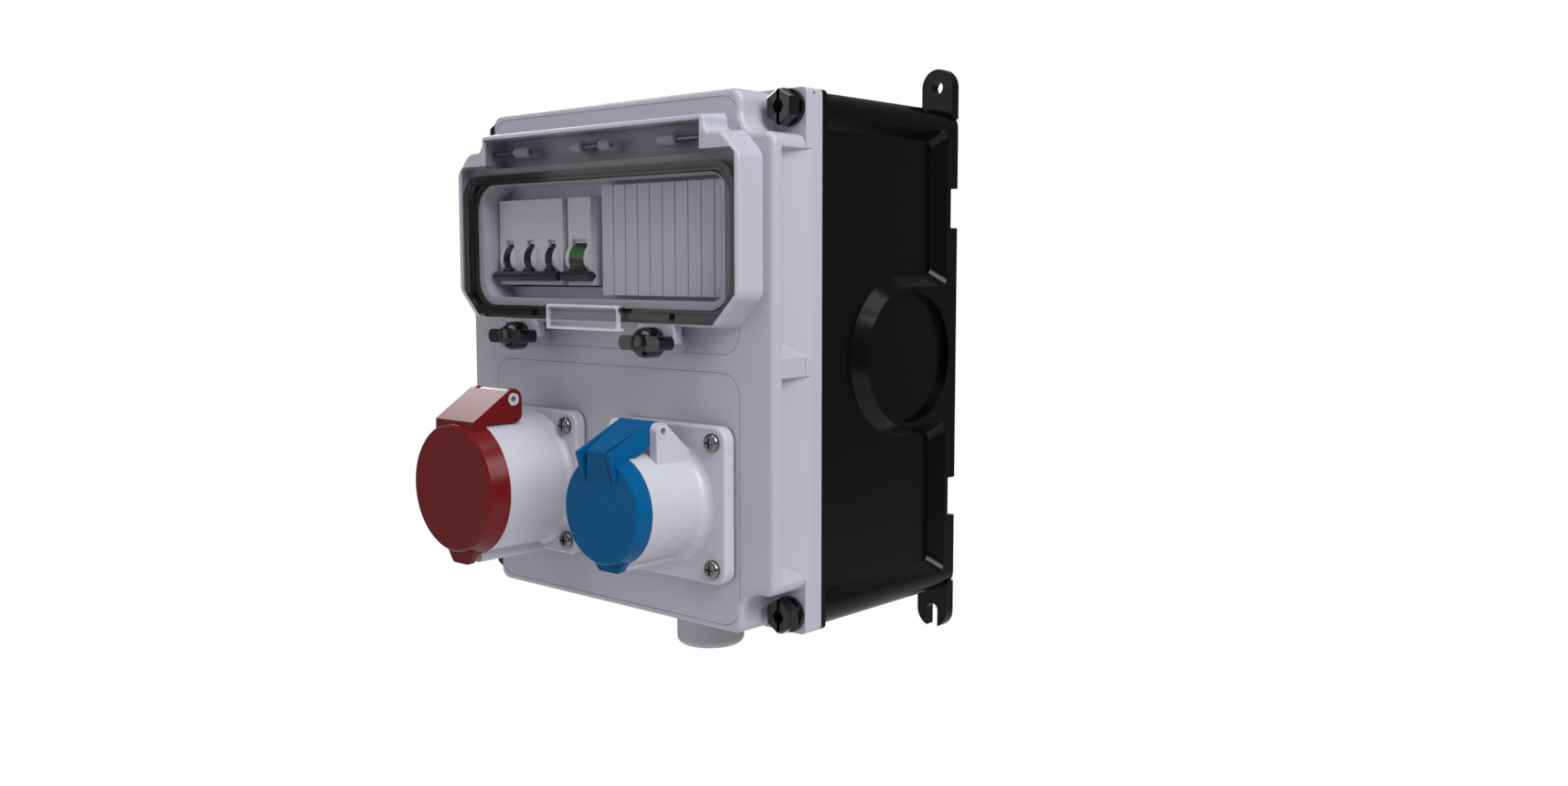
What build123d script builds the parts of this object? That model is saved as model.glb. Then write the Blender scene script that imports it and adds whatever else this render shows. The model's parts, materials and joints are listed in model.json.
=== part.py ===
from build123d import *
from math import cos, radians, sin, sqrt
from typing import NamedTuple
import os

# Industrial socket box, millimetres. Z is up, the wall is the plane y = 0, the front faces -Y and
# the origin is the middle of the box on the wall.

os.makedirs("parts", exist_ok=True)

# Housing
WIDTH = 226.0
HEIGHT = 255.0
STANDOFF = 6.0
BASE_DEPTH = 105.3
COVER_DEPTH = 33.2
WALL = 3.0
BACK_WALL = 3.5
BASE_CORNER_R = 10.0
LIP_DEPTH = 3.4
LIP_CORNER_R = 2.5

# Clearances
RUN = 0.3
FIT = 0.06
GAP = 0.4

# Rear rim and fixing ears
RIM_WALL = 5.0
RIM_NOTCH = 20.5
RIM_NOTCH_Z = 76.25
EAR_WIDTH = 19.0
EAR_Z = 139.0
EAR_HOLE_R = 3.5

# Side recess and the knockout boss in it
RECESS_DEPTH = 7.0
RECESS_SLOPE = 5.3
RECESS_FRONT_LAND = 3.5
RECESS_REAR_LAND = 3.1
RECESS_END_LAND = 11.8
RECESS_CORNER_R = 6.0
KNOCKOUT_FROM_REAR = 33.8
KNOCKOUT_BOSS_R = 35.8
KNOCKOUT_R = 33.5
KNOCKOUT_DEPTH = 3.4
KNOCKOUT_SKIN = 2.2

# Seam, gasket and cover screws
LEDGE_WIDTH = 8.5
LEDGE_DEPTH = 6.0
SEAL_INSET = 4.5
SEAL_WIDTH = 2.4
SEAL_DEPTH = 2.0
SEAL_CORNER_R = 2.0
SEAL_DODGE_R = 8.5
SCREW_EDGE = 9.0
SCREW_SHANK_R = 3.0
SCREW_REACH = 16.0
SCREW_FLANGE_R = 8.6
SCREW_FLANGE_T = 2.0
SCREW_HEAD_AF = 15.0
SCREW_HEAD_H = 7.0
SCREW_POCKET_AF = 6.0
SCREW_SLOT = 1.8
COLUMN_R = 8.0
NOTCH = 21.0
NOTCH_INNER_R = 10.0
NOTCH_OUTER_R = 6.0
NOTCH_FLOOR = 11.6
COVER_INSET = 0.4
FACE_EDGE_R = 3.0
SEALING_HOLE_R = 0.8

# Side pockets of the cover
POCKET_DEPTH = 5.4
POCKET_FRONT = 28.0
POCKET_BACK = 7.0
POCKET_UPPER_TOP = 99.9
POCKET_UPPER_BOTTOM = 3.5
POCKET_LOWER_TOP = -4.8
POCKET_LOWER_BOTTOM = -101.4
POCKET_END_SLOPE = 7.0
POCKET_MOUTH = 7.0

# Window surround on the cover
SURROUND_REACH = 14.8
SURROUND_HALF = 104.3
SURROUND_BOTTOM = 16.8
SURROUND_CHAMFER = 15.5
SHOULDER_TOP = 106.2
SHOULDER_CHAMFER = 11.2
HUMP_INSET = 21.8
HUMP_TOP = 114.6
SURROUND_DRAFT = 6.0
SURROUND_EDGE_R = 2.0
SURROUND_CORNER_R = 3.5
SURROUND_BEND_R = 8.0
SURROUND_RIM = 2.2
LEDGE_REACH = 7.8
SURROUND_SKIN = 2.6

# Window opening and mask
OPENING_W = 181.0
OPENING_H = 59.0
OPENING_Z = 59.0
OPENING_R = 10.0
LINER_WALL = 2.2
MASK_RECESS = 9.2
MASK_T = 2.0
MASK_W = 196.0
MASK_H = 78.0
MASK_SLOT_LEFT = -90.0
MASK_SLOT_RIGHT = -12.6
MASK_SLOT_MARGIN = 1.1

# Window lid
LID_SET_BACK = 1.0
LID_T = 3.2
LID_HINGE_T = 2.0
HUMP_BEVEL = 1.8
LID_SHOULDER_TOP = 97.7
LID_SHOULDER_BEVEL = 1.7
LID_SWING_GAP = 1.3
LID_TOP_GAP = 1.2
LID_CORNER_R = 2.5
PANE_W = 179.0
PANE_H = 57.0
PANE_R = 9.0
PANE_DEPTH = 2.2
PANE_T = 2.4
PANE_BEVEL = 35.0
HINGE_Z = 105.0
HINGE_BACK = 5.2
KNUCKLE_R = 2.9
HINGE_PIN_R = 1.4
OUTER_KNUCKLE = (60.0, 79.0)
OUTER_LUG = (48.6, 59.6)
MIDDLE_KNUCKLE_HALF = 6.6
MIDDLE_LUG_OUT = 14.0
GASKET_INSET = 1.4
GASKET_BOTTOM = 20.7
GASKET_TOP = 94.0
GASKET_BAND = 4.8
GASKET_T = 2.5
GASKET_R = 19.0
GASKET_GROOVE = 1.4
LUG_W = 20.0
LUG_H = 4.6
LUG_REACH = 1.9
LUG_X = 51.0

# Window latch
LATCH_HALF = 27.0
LATCH_T = 1.9
LATCH_AXIS_Z = 25.4
LATCH_BARREL_R = 1.7
LATCH_PIN_R = 0.8
LATCH_EAR_T = 2.4
LATCH_BOTTOM = 14.6
LATCH_HOOK_T = 1.5
LATCH_HOOK_REACH = 3.8

# Wing knobs
KNOB_X = 50.6
KNOB_Z = 10.2
KNOB_BODY_R = 7.3
KNOB_BODY_T = 11.9
KNOB_DOME_R = 6.2
WING_HALF = 14.0
WING_T = 7.0
WING_REACH = 9.6
KNOB_SHAFT_R = 3.0
KNOB_BOSS_R = 6.3
BRACKET_HALF = 12.0
BRACKET_DROP = 7.3
BRACKET_T = 5.6
CLIP_R = 5.6
CLIP_T = 1.2

# Rail and devices
RAIL_Z = 58.75
RAIL_LENGTH = 196.0
RAIL_W = 35.0
RAIL_HAT_W = 27.0
RAIL_DEPTH = 7.5
RAIL_T = 1.0
POST_X = 84.0
POST_W = 14.0
POST_H = 24.0
RAIL_SCREW_R = 1.9
RAIL_SCREW_HEAD_R = 3.8
RAIL_SCREW_HEAD_T = 2.4
RAIL_SCREW_L = 16.0
NOSE_RECESS = 1.2
POLE_W = 17.7
NOSE_H = 45.0
NOSE_DEPTH = 20.0
DEVICE_H = 90.0
DEVICE_DEPTH = 64.0
CLIP_DEPTH = 4.5
BREAKER_LEFT = -88.9
SINGLE_LEFT = -31.3
TOGGLE_BACK = 6.0
TOGGLE_Z = 50.0
TOGGLE_DRUM_R = 8.2
TOGGLE_W = 6.0
TOGGLE_ARM_R = 12.8
TOGGLE_SLOT_H = 20.0
TOGGLE_SLOT_DEPTH = 2.0
TOGGLE_ANGLE = 45.0
CHEEK_R = 8.6
CHEEK_W = 2.6
TIE_SIZE = 4.4
TIE_OVERHANG = 0.4
SINGLE_TOGGLE_W = 11.6
SINGLE_HANDLE_W = 22.6
SINGLE_OVERHANG = 0.7
FLAG_H = 4.6
FLAG_T = 1.2
FLAG_Z = 53.0
STRIP_LEFT = -6.0
STRIP_H = 55.0
STRIP_T = 6.8
STRIP_SKIN = 2.0
STRIP_PITCH = 8.85
STRIP_GROOVE = 0.7

# Earth and neutral bars
HOLDER_W = 128.0
HOLDER_H = 32.0
HOLDER_Z = -96.0
HOLDER_T = 4.0
HOLDER_END_W = 10.0
BAR_Y_REACH = 14.0
BAR_SIZE = 7.0
BAR_LENGTH = 120.0
BAR_PITCH_Z = 15.0
BAR_SCREWS = 6
BAR_SCREW_PITCH = 18.0
BAR_SCREW_R = 2.2
BAR_SCREW_PROUD = 1.6

# Blanked gland under the box
GLAND_Y = -71.3
GLAND_BODY_R = 22.5
GLAND_BODY_H = 18.0
GLAND_THREAD_R = 16.0
GLAND_BORE_R = 11.0
GLAND_NECK_R = 15.4
GLAND_NECK_H = 9.0
GLAND_CAP_R = 18.6
GLAND_CAP_H = 16.0
GLAND_CAP_EDGE = 4.0
GLAND_INSIDE = 12.0
LOCKNUT_AF = 41.0
LOCKNUT_T = 7.0
GLAND_DISC_T = 3.0

# Sockets: what both share
SOCKET_Z = -66.0
FLANGE_W = 76.0
FLANGE_H = 75.0
FLANGE_T = 5.8
FLANGE_R = 7.0
FLANGE_EDGE_R = 1.4
FLANGE_GASKET_T = 1.0
FLANGE_GASKET_INSET = 1.0
FLANGE_SCREW = 30.0
FLANGE_SCREW_R = 2.0
FLANGE_SCREW_HEAD_R = 4.5
FLANGE_SCREW_HEAD_T = 2.8
FLANGE_SCREW_DOME_R = 1.9
FLANGE_SCREW_L = 14.0
FLANGE_BOSS_R = 4.2
FLANGE_BOSS_H = 6.0
CROSS_W = 1.1
CROSS_L = 5.0
CROSS_DEPTH = 1.3
REAR_REACH = 34.0
SLEEVE_WALL = 2.6
COLLAR_H = 6.0
SOCKET_LID_T = 3.0
SOCKET_LID_EDGE = 1.0
SOCKET_SEAL_T = 2.0
SOCKET_SEAL_BAND = 4.0
RIM_SLACK = 1.4
INSERT_RECESS = 5.0
INSERT_BASE_T = 12.0
CONTACT_RECESS = 2.0
CONTACT_TAIL = 9.0
CONTACT_WALL = 0.7
TUBE_R = 3.2
TUBE_BORE_R = 1.7
TUBE_PROUD = 0.4
TAB_T = 3.2
TAB_SET_BACK = 4.8
SPRING_WIRE_R = 0.4
SPRING_TURNS = 4
SPRING_PITCH = 0.75
SPRING_CLEAR = 0.25
KEY_GROOVE_W = 8.0
KEY_GROOVE_DEPTH = 1.2
KEY_GROOVE_L = 22.0

# Red five-pole socket
RED_X = -55.8
RED_REACH = 56.8
RED_LID_FRONT_R = 32.5
RED_LID_BACK_R = 35.2
RED_RIM_DEPTH = 10.5
RED_BARREL_R = 34.5
RED_COLLAR_R = 36.5
RED_SPIGOT_R = 30.3
RED_MOUTH_R = 28.2
RED_INSERT_R = 22.5
RED_CONTACTS = 5
RED_CONTACT_CIRCLE_R = 14.0
RED_CONTACT_R = 3.2
RED_PIN_REACH = 29.3
RED_PIN_RISE = 44.4
RED_KEY_W = 9.0
RED_KEY_H = 4.4
RED_TAB_ROOT = 13.5
RED_TAB_TIP = 6.5
RED_TAB_DROP = 39.4
RED_SPRING_IN = 9.6
SHROUD_HALF = 16.0
SHROUD_CHEEK_T = 3.0
SHROUD_PLATE_T = 2.4
SHROUD_SET_BACK = 2.7
SHROUD_FRONT_RISE = 34.5
SHROUD_TOP_R = 5.4
SHROUD_CLEAR = 0.65
SHROUD_CORNER_R = 4.0
RED_HINGE_R = 5.0
RED_HINGE_LEFT = 9.3

# Blue three-pole socket
BLUE_X = 50.2
BLUE_REACH = 50.2
BLUE_LID_FRONT_R = 25.2
BLUE_LID_BACK_R = 26.4
BLUE_RIM_DEPTH = 8.0
BLUE_BARREL_R = 26.5
BLUE_COLLAR_R = 30.5
BLUE_SPIGOT_R = 22.6
BLUE_MOUTH_R = 20.6
BLUE_INSERT_R = 15.5
BLUE_CONTACTS = 3
BLUE_CONTACT_CIRCLE_R = 8.4
BLUE_CONTACT_R = 2.9
BLUE_PIN_REACH = 25.9
BLUE_PIN_RISE = 36.0
BLUE_KEY_W = 7.0
BLUE_KEY_H = 2.4
BLUE_TAB_ROOT = 12.5
BLUE_TAB_TIP = 7.0
BLUE_TAB_DROP = 29.2
BLUE_SPRING_IN = 8.1
ARM_HALF = 11.5
ARM_FRONT_RISE = 27.0
ARM_PROUD = 4.6
ARM_FOOT_RISE = 12.0
ARM_UNDER_BACK = 30.6
ARM_UNDER_FRONT = 22.7
ARM_CLEAR = 0.9
ARM_HINGE_R = 4.4
ARM_GROOVE_DEPTH = 3.0
ARM_TONGUE_SET = 2.4
ARM_TONGUE_TOP = 5.2
ARM_TONGUE_FOOT = 9.0
ARM_RAIL_W = 2.0
EAR_T = 4.6
EAR_R = 3.9
EAR_ROOT = 17.0
GUSSET_REACH = 8.2
GUSSET_RISE = 25.0

# Planes that the rest is placed by
SEAM_Y = -(STANDOFF + BASE_DEPTH)
FACE_Y = SEAM_Y - COVER_DEPTH
SCREW_X = WIDTH / 2 - SCREW_EDGE
SCREW_Z = HEIGHT / 2 - SCREW_EDGE
SIDE_WALL = RECESS_DEPTH + WALL
COVER_SIDE = POCKET_DEPTH + WALL
SURROUND_Y = FACE_Y - SURROUND_REACH
LEDGE_Y = FACE_Y - LEDGE_REACH
LID_Y = SURROUND_Y + LID_SET_BACK
HINGE_Y = LID_Y + HINGE_BACK
MASK_Y = FACE_Y + MASK_RECESS
NOSE_Y = FACE_Y + NOSE_RECESS
RAIL_Y = NOSE_Y + DEVICE_DEPTH
TOGGLE_Y = NOSE_Y + TOGGLE_BACK
BACK_Y = -STANDOFF - BACK_WALL
LATCH_FRONT_Y = SURROUND_Y - RUN - GAP - LATCH_T
LATCH_AXIS_Y = LATCH_FRONT_Y + LATCH_BARREL_R
SCREW_CENTRES = [(i * SCREW_X, j * SCREW_Z) for j in (1, -1) for i in (-1, 1)]


def facing(y):
    """Plane at depth y that looks out of the front: its X is width and its Y is height."""
    return Plane(origin=(0, y, 0), x_dir=(1, 0, 0), z_dir=(0, -1, 0))


def side(x):
    """Plane at width x that looks along +X: its X is depth and its Y is height."""
    return Plane(origin=(x, 0, 0), x_dir=(0, 1, 0), z_dir=(1, 0, 0))


def recess_outline(grow):
    """Side recess with the D-shaped boss biting into it from the rear; grow moves every edge inwards."""
    front = SEAM_Y + RECESS_FRONT_LAND + grow
    rear = -STANDOFF - RECESS_REAR_LAND - grow
    end = HEIGHT / 2 - RECESS_END_LAND - grow
    centre = -STANDOFF - KNOCKOUT_FROM_REAR
    boss = KNOCKOUT_BOSS_R + grow
    with BuildSketch() as outline:
        with BuildLine():
            Polyline((centre, boss), (rear, boss), (rear, end), (front, end))
            Polyline((front, end), (front, -end), (rear, -end), (rear, -boss), (centre, -boss))
            ThreePointArc((centre, -boss), (centre - boss, 0), (centre, boss))
        make_face()
    return outline.sketch


def window_outline(half, bottom, chamfer, shoulder, shoulder_chamfer, hump, top, corner, bend):
    """Outline of the window: chamfered lower corners, shoulders and the hump over the hinge.
    Corner rounds the hump and bend the chamfers."""
    right = [
        (half - chamfer, bottom),
        (half, bottom + chamfer),
        (half, shoulder - shoulder_chamfer),
        (half - shoulder_chamfer, shoulder),
        (hump, shoulder),
        (hump, top),
    ]
    left = [(-x, z) for x, z in reversed(right)]
    with BuildSketch() as outline:
        with BuildLine():
            Polyline(*right, *left, close=True)
        make_face()
        fillet(outline.vertices().filter_by(lambda v: abs(v.X) < hump + corner), corner)
        fillet(outline.vertices().filter_by(lambda v: abs(v.X) > hump + 1.5 * corner), bend)
    return outline.sketch


def seam_opening(width):
    """Opening of either shell at the seam, clear of the solid corners that the screws pass."""
    with BuildSketch() as opening:
        Rectangle(width, HEIGHT - 2 * LEDGE_WIDTH)
        with Locations(*[(i * WIDTH / 2, j * HEIGHT / 2) for i in (-1, 1) for j in (-1, 1)]):
            Rectangle(2 * (NOTCH + WALL), 2 * (NOTCH + WALL), mode=Mode.SUBTRACT)
    return opening.sketch


# Base housing
recess_mouth = recess_outline(0)
recess_floor = recess_outline(RECESS_SLOPE)
with BuildPart() as side_recess:
    with BuildSketch(side(WIDTH / 2)):
        add(recess_mouth)
    with BuildSketch(side(WIDTH / 2 - RECESS_DEPTH)):
        add(recess_floor)
    loft(ruled=True)
    slanted = side_recess.edges().filter_by(lambda e: abs((e @ 1 - e @ 0).X) > RECESS_DEPTH / 2)
    knee_y = -STANDOFF - KNOCKOUT_FROM_REAR / 2
    fillet(slanted.filter_by(lambda e: abs(e.center().Z) > KNOCKOUT_BOSS_R + 3 * RECESS_SLOPE
                             or e.center().Y > knee_y), RECESS_CORNER_R)

base_opening = seam_opening(WIDTH - 2 * SIDE_WALL)
EAR_X = WIDTH / 2 - EAR_WIDTH / 2
EAR_ROOT_Z = HEIGHT / 2 - RIM_WALL
with BuildPart() as base_housing:
    with BuildSketch(facing(-STANDOFF)):
        RectangleRounded(WIDTH, HEIGHT, BASE_CORNER_R)
    extrude(amount=BASE_DEPTH - LIP_DEPTH)
    with BuildSketch(facing(SEAM_Y + LIP_DEPTH)):
        RectangleRounded(WIDTH, HEIGHT, LIP_CORNER_R)
    extrude(amount=LIP_DEPTH)
    with BuildSketch(facing(0)):
        RectangleRounded(WIDTH, HEIGHT, BASE_CORNER_R)
        RectangleRounded(WIDTH - 2 * RIM_WALL, HEIGHT - 2 * RIM_WALL, BASE_CORNER_R - RIM_WALL,
                         mode=Mode.SUBTRACT)
        with Locations(*[(i * WIDTH / 2, j * RIM_NOTCH_Z) for i in (-1, 1) for j in (-1, 1)]):
            Rectangle(3 * RIM_WALL, RIM_NOTCH, mode=Mode.SUBTRACT)
        with Locations(*[(i * EAR_X, j * (EAR_Z + EAR_ROOT_Z) / 2) for i in (-1, 1) for j in (-1, 1)]):
            Rectangle(EAR_WIDTH, EAR_Z - EAR_ROOT_Z)
        with Locations(*[(i * EAR_X, j * EAR_Z) for i in (-1, 1) for j in (-1, 1)]):
            Circle(EAR_WIDTH / 2)
            Circle(EAR_HOLE_R, mode=Mode.SUBTRACT)
        with Locations(*[(i * EAR_X, -EAR_Z - EAR_WIDTH / 2) for i in (-1, 1)]):
            Rectangle(2 * EAR_HOLE_R, EAR_WIDTH, mode=Mode.SUBTRACT)
    extrude(amount=STANDOFF)
    with BuildSketch(facing(BACK_Y)):
        RectangleRounded(WIDTH - 2 * SIDE_WALL, HEIGHT - 2 * WALL, BASE_CORNER_R - WALL)
        with Locations(*SCREW_CENTRES):
            Circle(COLUMN_R, mode=Mode.SUBTRACT)
    extrude(amount=BASE_DEPTH - BACK_WALL - LEDGE_DEPTH, mode=Mode.SUBTRACT)
    with BuildSketch(facing(SEAM_Y + LEDGE_DEPTH)):
        add(base_opening)
    extrude(amount=LEDGE_DEPTH, mode=Mode.SUBTRACT)
    with BuildSketch(facing(SEAM_Y + SCREW_REACH)):
        with Locations(*SCREW_CENTRES):
            Circle(SCREW_SHANK_R + FIT)
    extrude(amount=SCREW_REACH, mode=Mode.SUBTRACT)
    add(side_recess.part, mode=Mode.SUBTRACT)
    add(side_recess.part.mirror(Plane.YZ), mode=Mode.SUBTRACT)
    for flank in (1, -1):
        with BuildSketch(Plane(origin=(flank * WIDTH / 2, -STANDOFF - KNOCKOUT_FROM_REAR, 0),
                               x_dir=(0, 1, 0), z_dir=(1, 0, 0))):
            Circle(KNOCKOUT_R)
        extrude(amount=-flank * KNOCKOUT_DEPTH, mode=Mode.SUBTRACT)
        with BuildSketch(Plane(origin=(flank * (WIDTH / 2 - SIDE_WALL), -STANDOFF - KNOCKOUT_FROM_REAR, 0),
                               x_dir=(0, 1, 0), z_dir=(1, 0, 0))):
            Circle(KNOCKOUT_BOSS_R - WALL - GAP)
        extrude(amount=flank * (SIDE_WALL - KNOCKOUT_DEPTH - KNOCKOUT_SKIN), mode=Mode.SUBTRACT)
    with BuildSketch(facing(BACK_Y)):
        with Locations((-POST_X, RAIL_Z), (POST_X, RAIL_Z)):
            RectangleRounded(POST_W, POST_H, 2)
    extrude(amount=BACK_Y - RAIL_Y - RAIL_DEPTH)
    with BuildSketch(facing(RAIL_Y + RAIL_DEPTH + RAIL_SCREW_L)):
        with Locations((-POST_X, RAIL_Z), (POST_X, RAIL_Z)):
            Circle(RAIL_SCREW_R + FIT)
    extrude(amount=RAIL_SCREW_L, mode=Mode.SUBTRACT)
    with BuildSketch(Plane.XY.offset(-HEIGHT / 2 - RUN)):
        with Locations((0, GLAND_Y)):
            Circle(GLAND_THREAD_R + FIT)
    extrude(amount=2 * WALL, mode=Mode.SUBTRACT)
base_housing.part.label = "base_housing"
export_step(base_housing.part, "parts/base_housing.step")


# Seam gasket, let into the back of the cover
with BuildSketch() as seal_edge:
    RectangleRounded(WIDTH - 2 * SEAL_INSET, HEIGHT - 2 * SEAL_INSET, SEAL_CORNER_R)
    with Locations(*SCREW_CENTRES):
        Circle(SEAL_DODGE_R, mode=Mode.SUBTRACT)
with BuildSketch() as seal_ring:
    add(seal_edge.sketch)
    offset(seal_edge.sketch, amount=-SEAL_WIDTH, mode=Mode.SUBTRACT)
with BuildPart() as cover_gasket:
    with BuildSketch(facing(SEAM_Y)):
        add(seal_ring.sketch)
    extrude(amount=SEAL_DEPTH)
cover_gasket.part.label = "cover_gasket"
export_step(cover_gasket.part, "parts/cover_gasket.step")


# Front cover
HUMP_HALF = SURROUND_HALF - HUMP_INSET
draft_spread = SURROUND_REACH * sin(radians(SURROUND_DRAFT))
surround = window_outline(SURROUND_HALF + draft_spread, SURROUND_BOTTOM, SURROUND_CHAMFER,
                          SHOULDER_TOP + draft_spread, SHOULDER_CHAMFER, HUMP_HALF + draft_spread,
                          HUMP_TOP + draft_spread, SURROUND_CORNER_R, SURROUND_BEND_R)
LID_HALF = SURROUND_HALF - SURROUND_RIM - GAP
LID_BOTTOM = SURROUND_BOTTOM + SURROUND_RIM + GAP
LID_CHAMFER = SURROUND_CHAMFER - (SURROUND_RIM + GAP) * (2 - sqrt(2))
LID_HUMP_HALF = HUMP_HALF - SURROUND_RIM - GAP
LID_TOP = HUMP_TOP - SURROUND_RIM - LID_TOP_GAP
lid_bed = window_outline(LID_HALF + GAP, LID_BOTTOM - GAP, LID_CHAMFER + GAP * (2 - sqrt(2)),
                         LID_SHOULDER_TOP + LID_SWING_GAP, LID_CORNER_R, LID_HUMP_HALF + GAP,
                         HUMP_TOP - SURROUND_RIM, GAP, GAP)
surround_core = window_outline(SURROUND_HALF - SURROUND_SKIN, SURROUND_BOTTOM + SURROUND_SKIN,
                               SURROUND_CHAMFER, LID_SHOULDER_TOP - SURROUND_SKIN, SURROUND_RIM,
                               HUMP_HALF - SURROUND_SKIN, LID_SHOULDER_TOP - SURROUND_SKIN / 2, GAP, GAP)
cover_opening = seam_opening(WIDTH - 2 * COVER_SIDE)
NOTCH_LOCATIONS = [(i * WIDTH / 2, j * HEIGHT / 2) for i in (-1, 1) for j in (-1, 1)]

with BuildSketch() as face_outline:
    Rectangle(WIDTH - 2 * COVER_INSET, HEIGHT - 2 * COVER_INSET)
    with Locations(*NOTCH_LOCATIONS):
        Rectangle(2 * NOTCH, 2 * NOTCH, mode=Mode.SUBTRACT)
    inner_corners = face_outline.vertices().filter_by(
        lambda v: abs(v.X) < WIDTH / 2 - NOTCH / 2 and abs(v.Y) < HEIGHT / 2 - NOTCH / 2)
    fillet(inner_corners, NOTCH_INNER_R)
    outer_corners = face_outline.vertices().filter_by(
        lambda v: abs(v.X) > WIDTH / 2 - NOTCH / 4 or abs(v.Y) > HEIGHT / 2 - NOTCH / 4)
    fillet(outer_corners, NOTCH_OUTER_R)

with BuildPart() as front_cover:
    with BuildSketch(facing(SEAM_Y)):
        RectangleRounded(WIDTH, HEIGHT, LIP_CORNER_R)
    extrude(amount=NOTCH_FLOOR)
    with BuildSketch(facing(SEAM_Y - NOTCH_FLOOR)):
        add(face_outline.sketch)
    extrude(amount=COVER_DEPTH - NOTCH_FLOOR)
    fillet(front_cover.faces().sort_by(Axis.Y)[0].edges(), FACE_EDGE_R)
    # Inside of the shell, and the bosses for the socket screws
    with BuildSketch(facing(SEAM_Y)):
        add(cover_opening)
    extrude(amount=LEDGE_DEPTH, mode=Mode.SUBTRACT)
    with BuildSketch(facing(SEAM_Y - LEDGE_DEPTH)):
        Rectangle(WIDTH - 2 * COVER_SIDE, HEIGHT - 2 * WALL - 2 * COVER_INSET)
        with Locations(*NOTCH_LOCATIONS):
            Rectangle(2 * (NOTCH + WALL), 2 * (NOTCH + WALL), mode=Mode.SUBTRACT)
    extrude(amount=COVER_DEPTH - LEDGE_DEPTH - WALL, mode=Mode.SUBTRACT)
    with BuildSketch(facing(FACE_Y + WALL + FLANGE_BOSS_H)):
        for x in (RED_X, BLUE_X):
            with Locations((x, SOCKET_Z)):
                with GridLocations(2 * FLANGE_SCREW, 2 * FLANGE_SCREW, 2, 2):
                    Circle(FLANGE_BOSS_R)
    extrude(amount=FLANGE_BOSS_H)
    # Window surround with its rim, bed for the lid and pocket for the hinge
    with BuildSketch(facing(FACE_Y)):
        add(surround)
    extrude(amount=SURROUND_REACH, taper=SURROUND_DRAFT)
    fillet(front_cover.faces().sort_by(Axis.Y)[0].outer_wire().edges(), SURROUND_EDGE_R)
    for flank in (-1, 1):
        with BuildSketch(facing(SURROUND_Y + BRACKET_T)):
            with Locations((flank * KNOB_X, SURROUND_BOTTOM - BRACKET_DROP / 2 + SURROUND_RIM / 2)):
                Rectangle(2 * BRACKET_HALF, BRACKET_DROP + SURROUND_RIM)
        extrude(amount=BRACKET_T)
        with BuildSketch(facing(FACE_Y)):
            with Locations((flank * KNOB_X, KNOB_Z)):
                Circle(KNOB_BOSS_R)
        extrude(amount=SURROUND_REACH)
    with BuildSketch(facing(LEDGE_Y)):
        with Locations((0, OPENING_Z)):
            RectangleRounded(OPENING_W + 2 * LINER_WALL, OPENING_H + 2 * LINER_WALL, OPENING_R + LINER_WALL)
    extrude(amount=LEDGE_Y - MASK_Y)
    with BuildSketch(facing(LEDGE_Y)):
        add(lid_bed)
    extrude(amount=SURROUND_REACH, mode=Mode.SUBTRACT)
    with BuildSketch(facing(FACE_Y - RUN)):
        with Locations((0, (LID_SHOULDER_TOP + HUMP_TOP - SURROUND_RIM) / 2)):
            Rectangle(2 * LID_HUMP_HALF + 2 * GAP, HUMP_TOP - SURROUND_RIM - LID_SHOULDER_TOP)
    extrude(amount=SURROUND_REACH, mode=Mode.SUBTRACT)
    with BuildSketch(facing(FACE_Y + WALL)):
        add(surround_core)
        with Locations((0, OPENING_Z)):
            RectangleRounded(OPENING_W + 2 * LINER_WALL, OPENING_H + 2 * LINER_WALL, OPENING_R + LINER_WALL,
                             mode=Mode.SUBTRACT)
    extrude(amount=WALL + LEDGE_REACH - SURROUND_SKIN, mode=Mode.SUBTRACT)
    with BuildSketch(facing(MASK_Y)):
        with Locations((0, OPENING_Z)):
            RectangleRounded(OPENING_W, OPENING_H, OPENING_R)
    extrude(amount=MASK_Y - SURROUND_Y, mode=Mode.SUBTRACT)
    # Hinge lugs in the pocket
    lug_pair = (OUTER_LUG, (MIDDLE_KNUCKLE_HALF + GAP, MIDDLE_LUG_OUT))
    lug_spans = [(i * a, i * b) for i in (-1, 1) for a, b in lug_pair]
    for start, stop in lug_spans:
        with BuildSketch(side(start)):
            with Locations((HINGE_Y, HINGE_Z)):
                Circle(KNUCKLE_R)
            with Locations(((HINGE_Y + FACE_Y) / 2, HINGE_Z - KNUCKLE_R / 4)):
                Rectangle(FACE_Y - HINGE_Y, 1.5 * KNUCKLE_R)
        extrude(amount=stop - start)
    for start, stop in lug_spans:
        with BuildSketch(side(start)):
            with Locations((HINGE_Y, HINGE_Z)):
                Circle(HINGE_PIN_R)
        extrude(amount=stop - start, mode=Mode.SUBTRACT)
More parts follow.
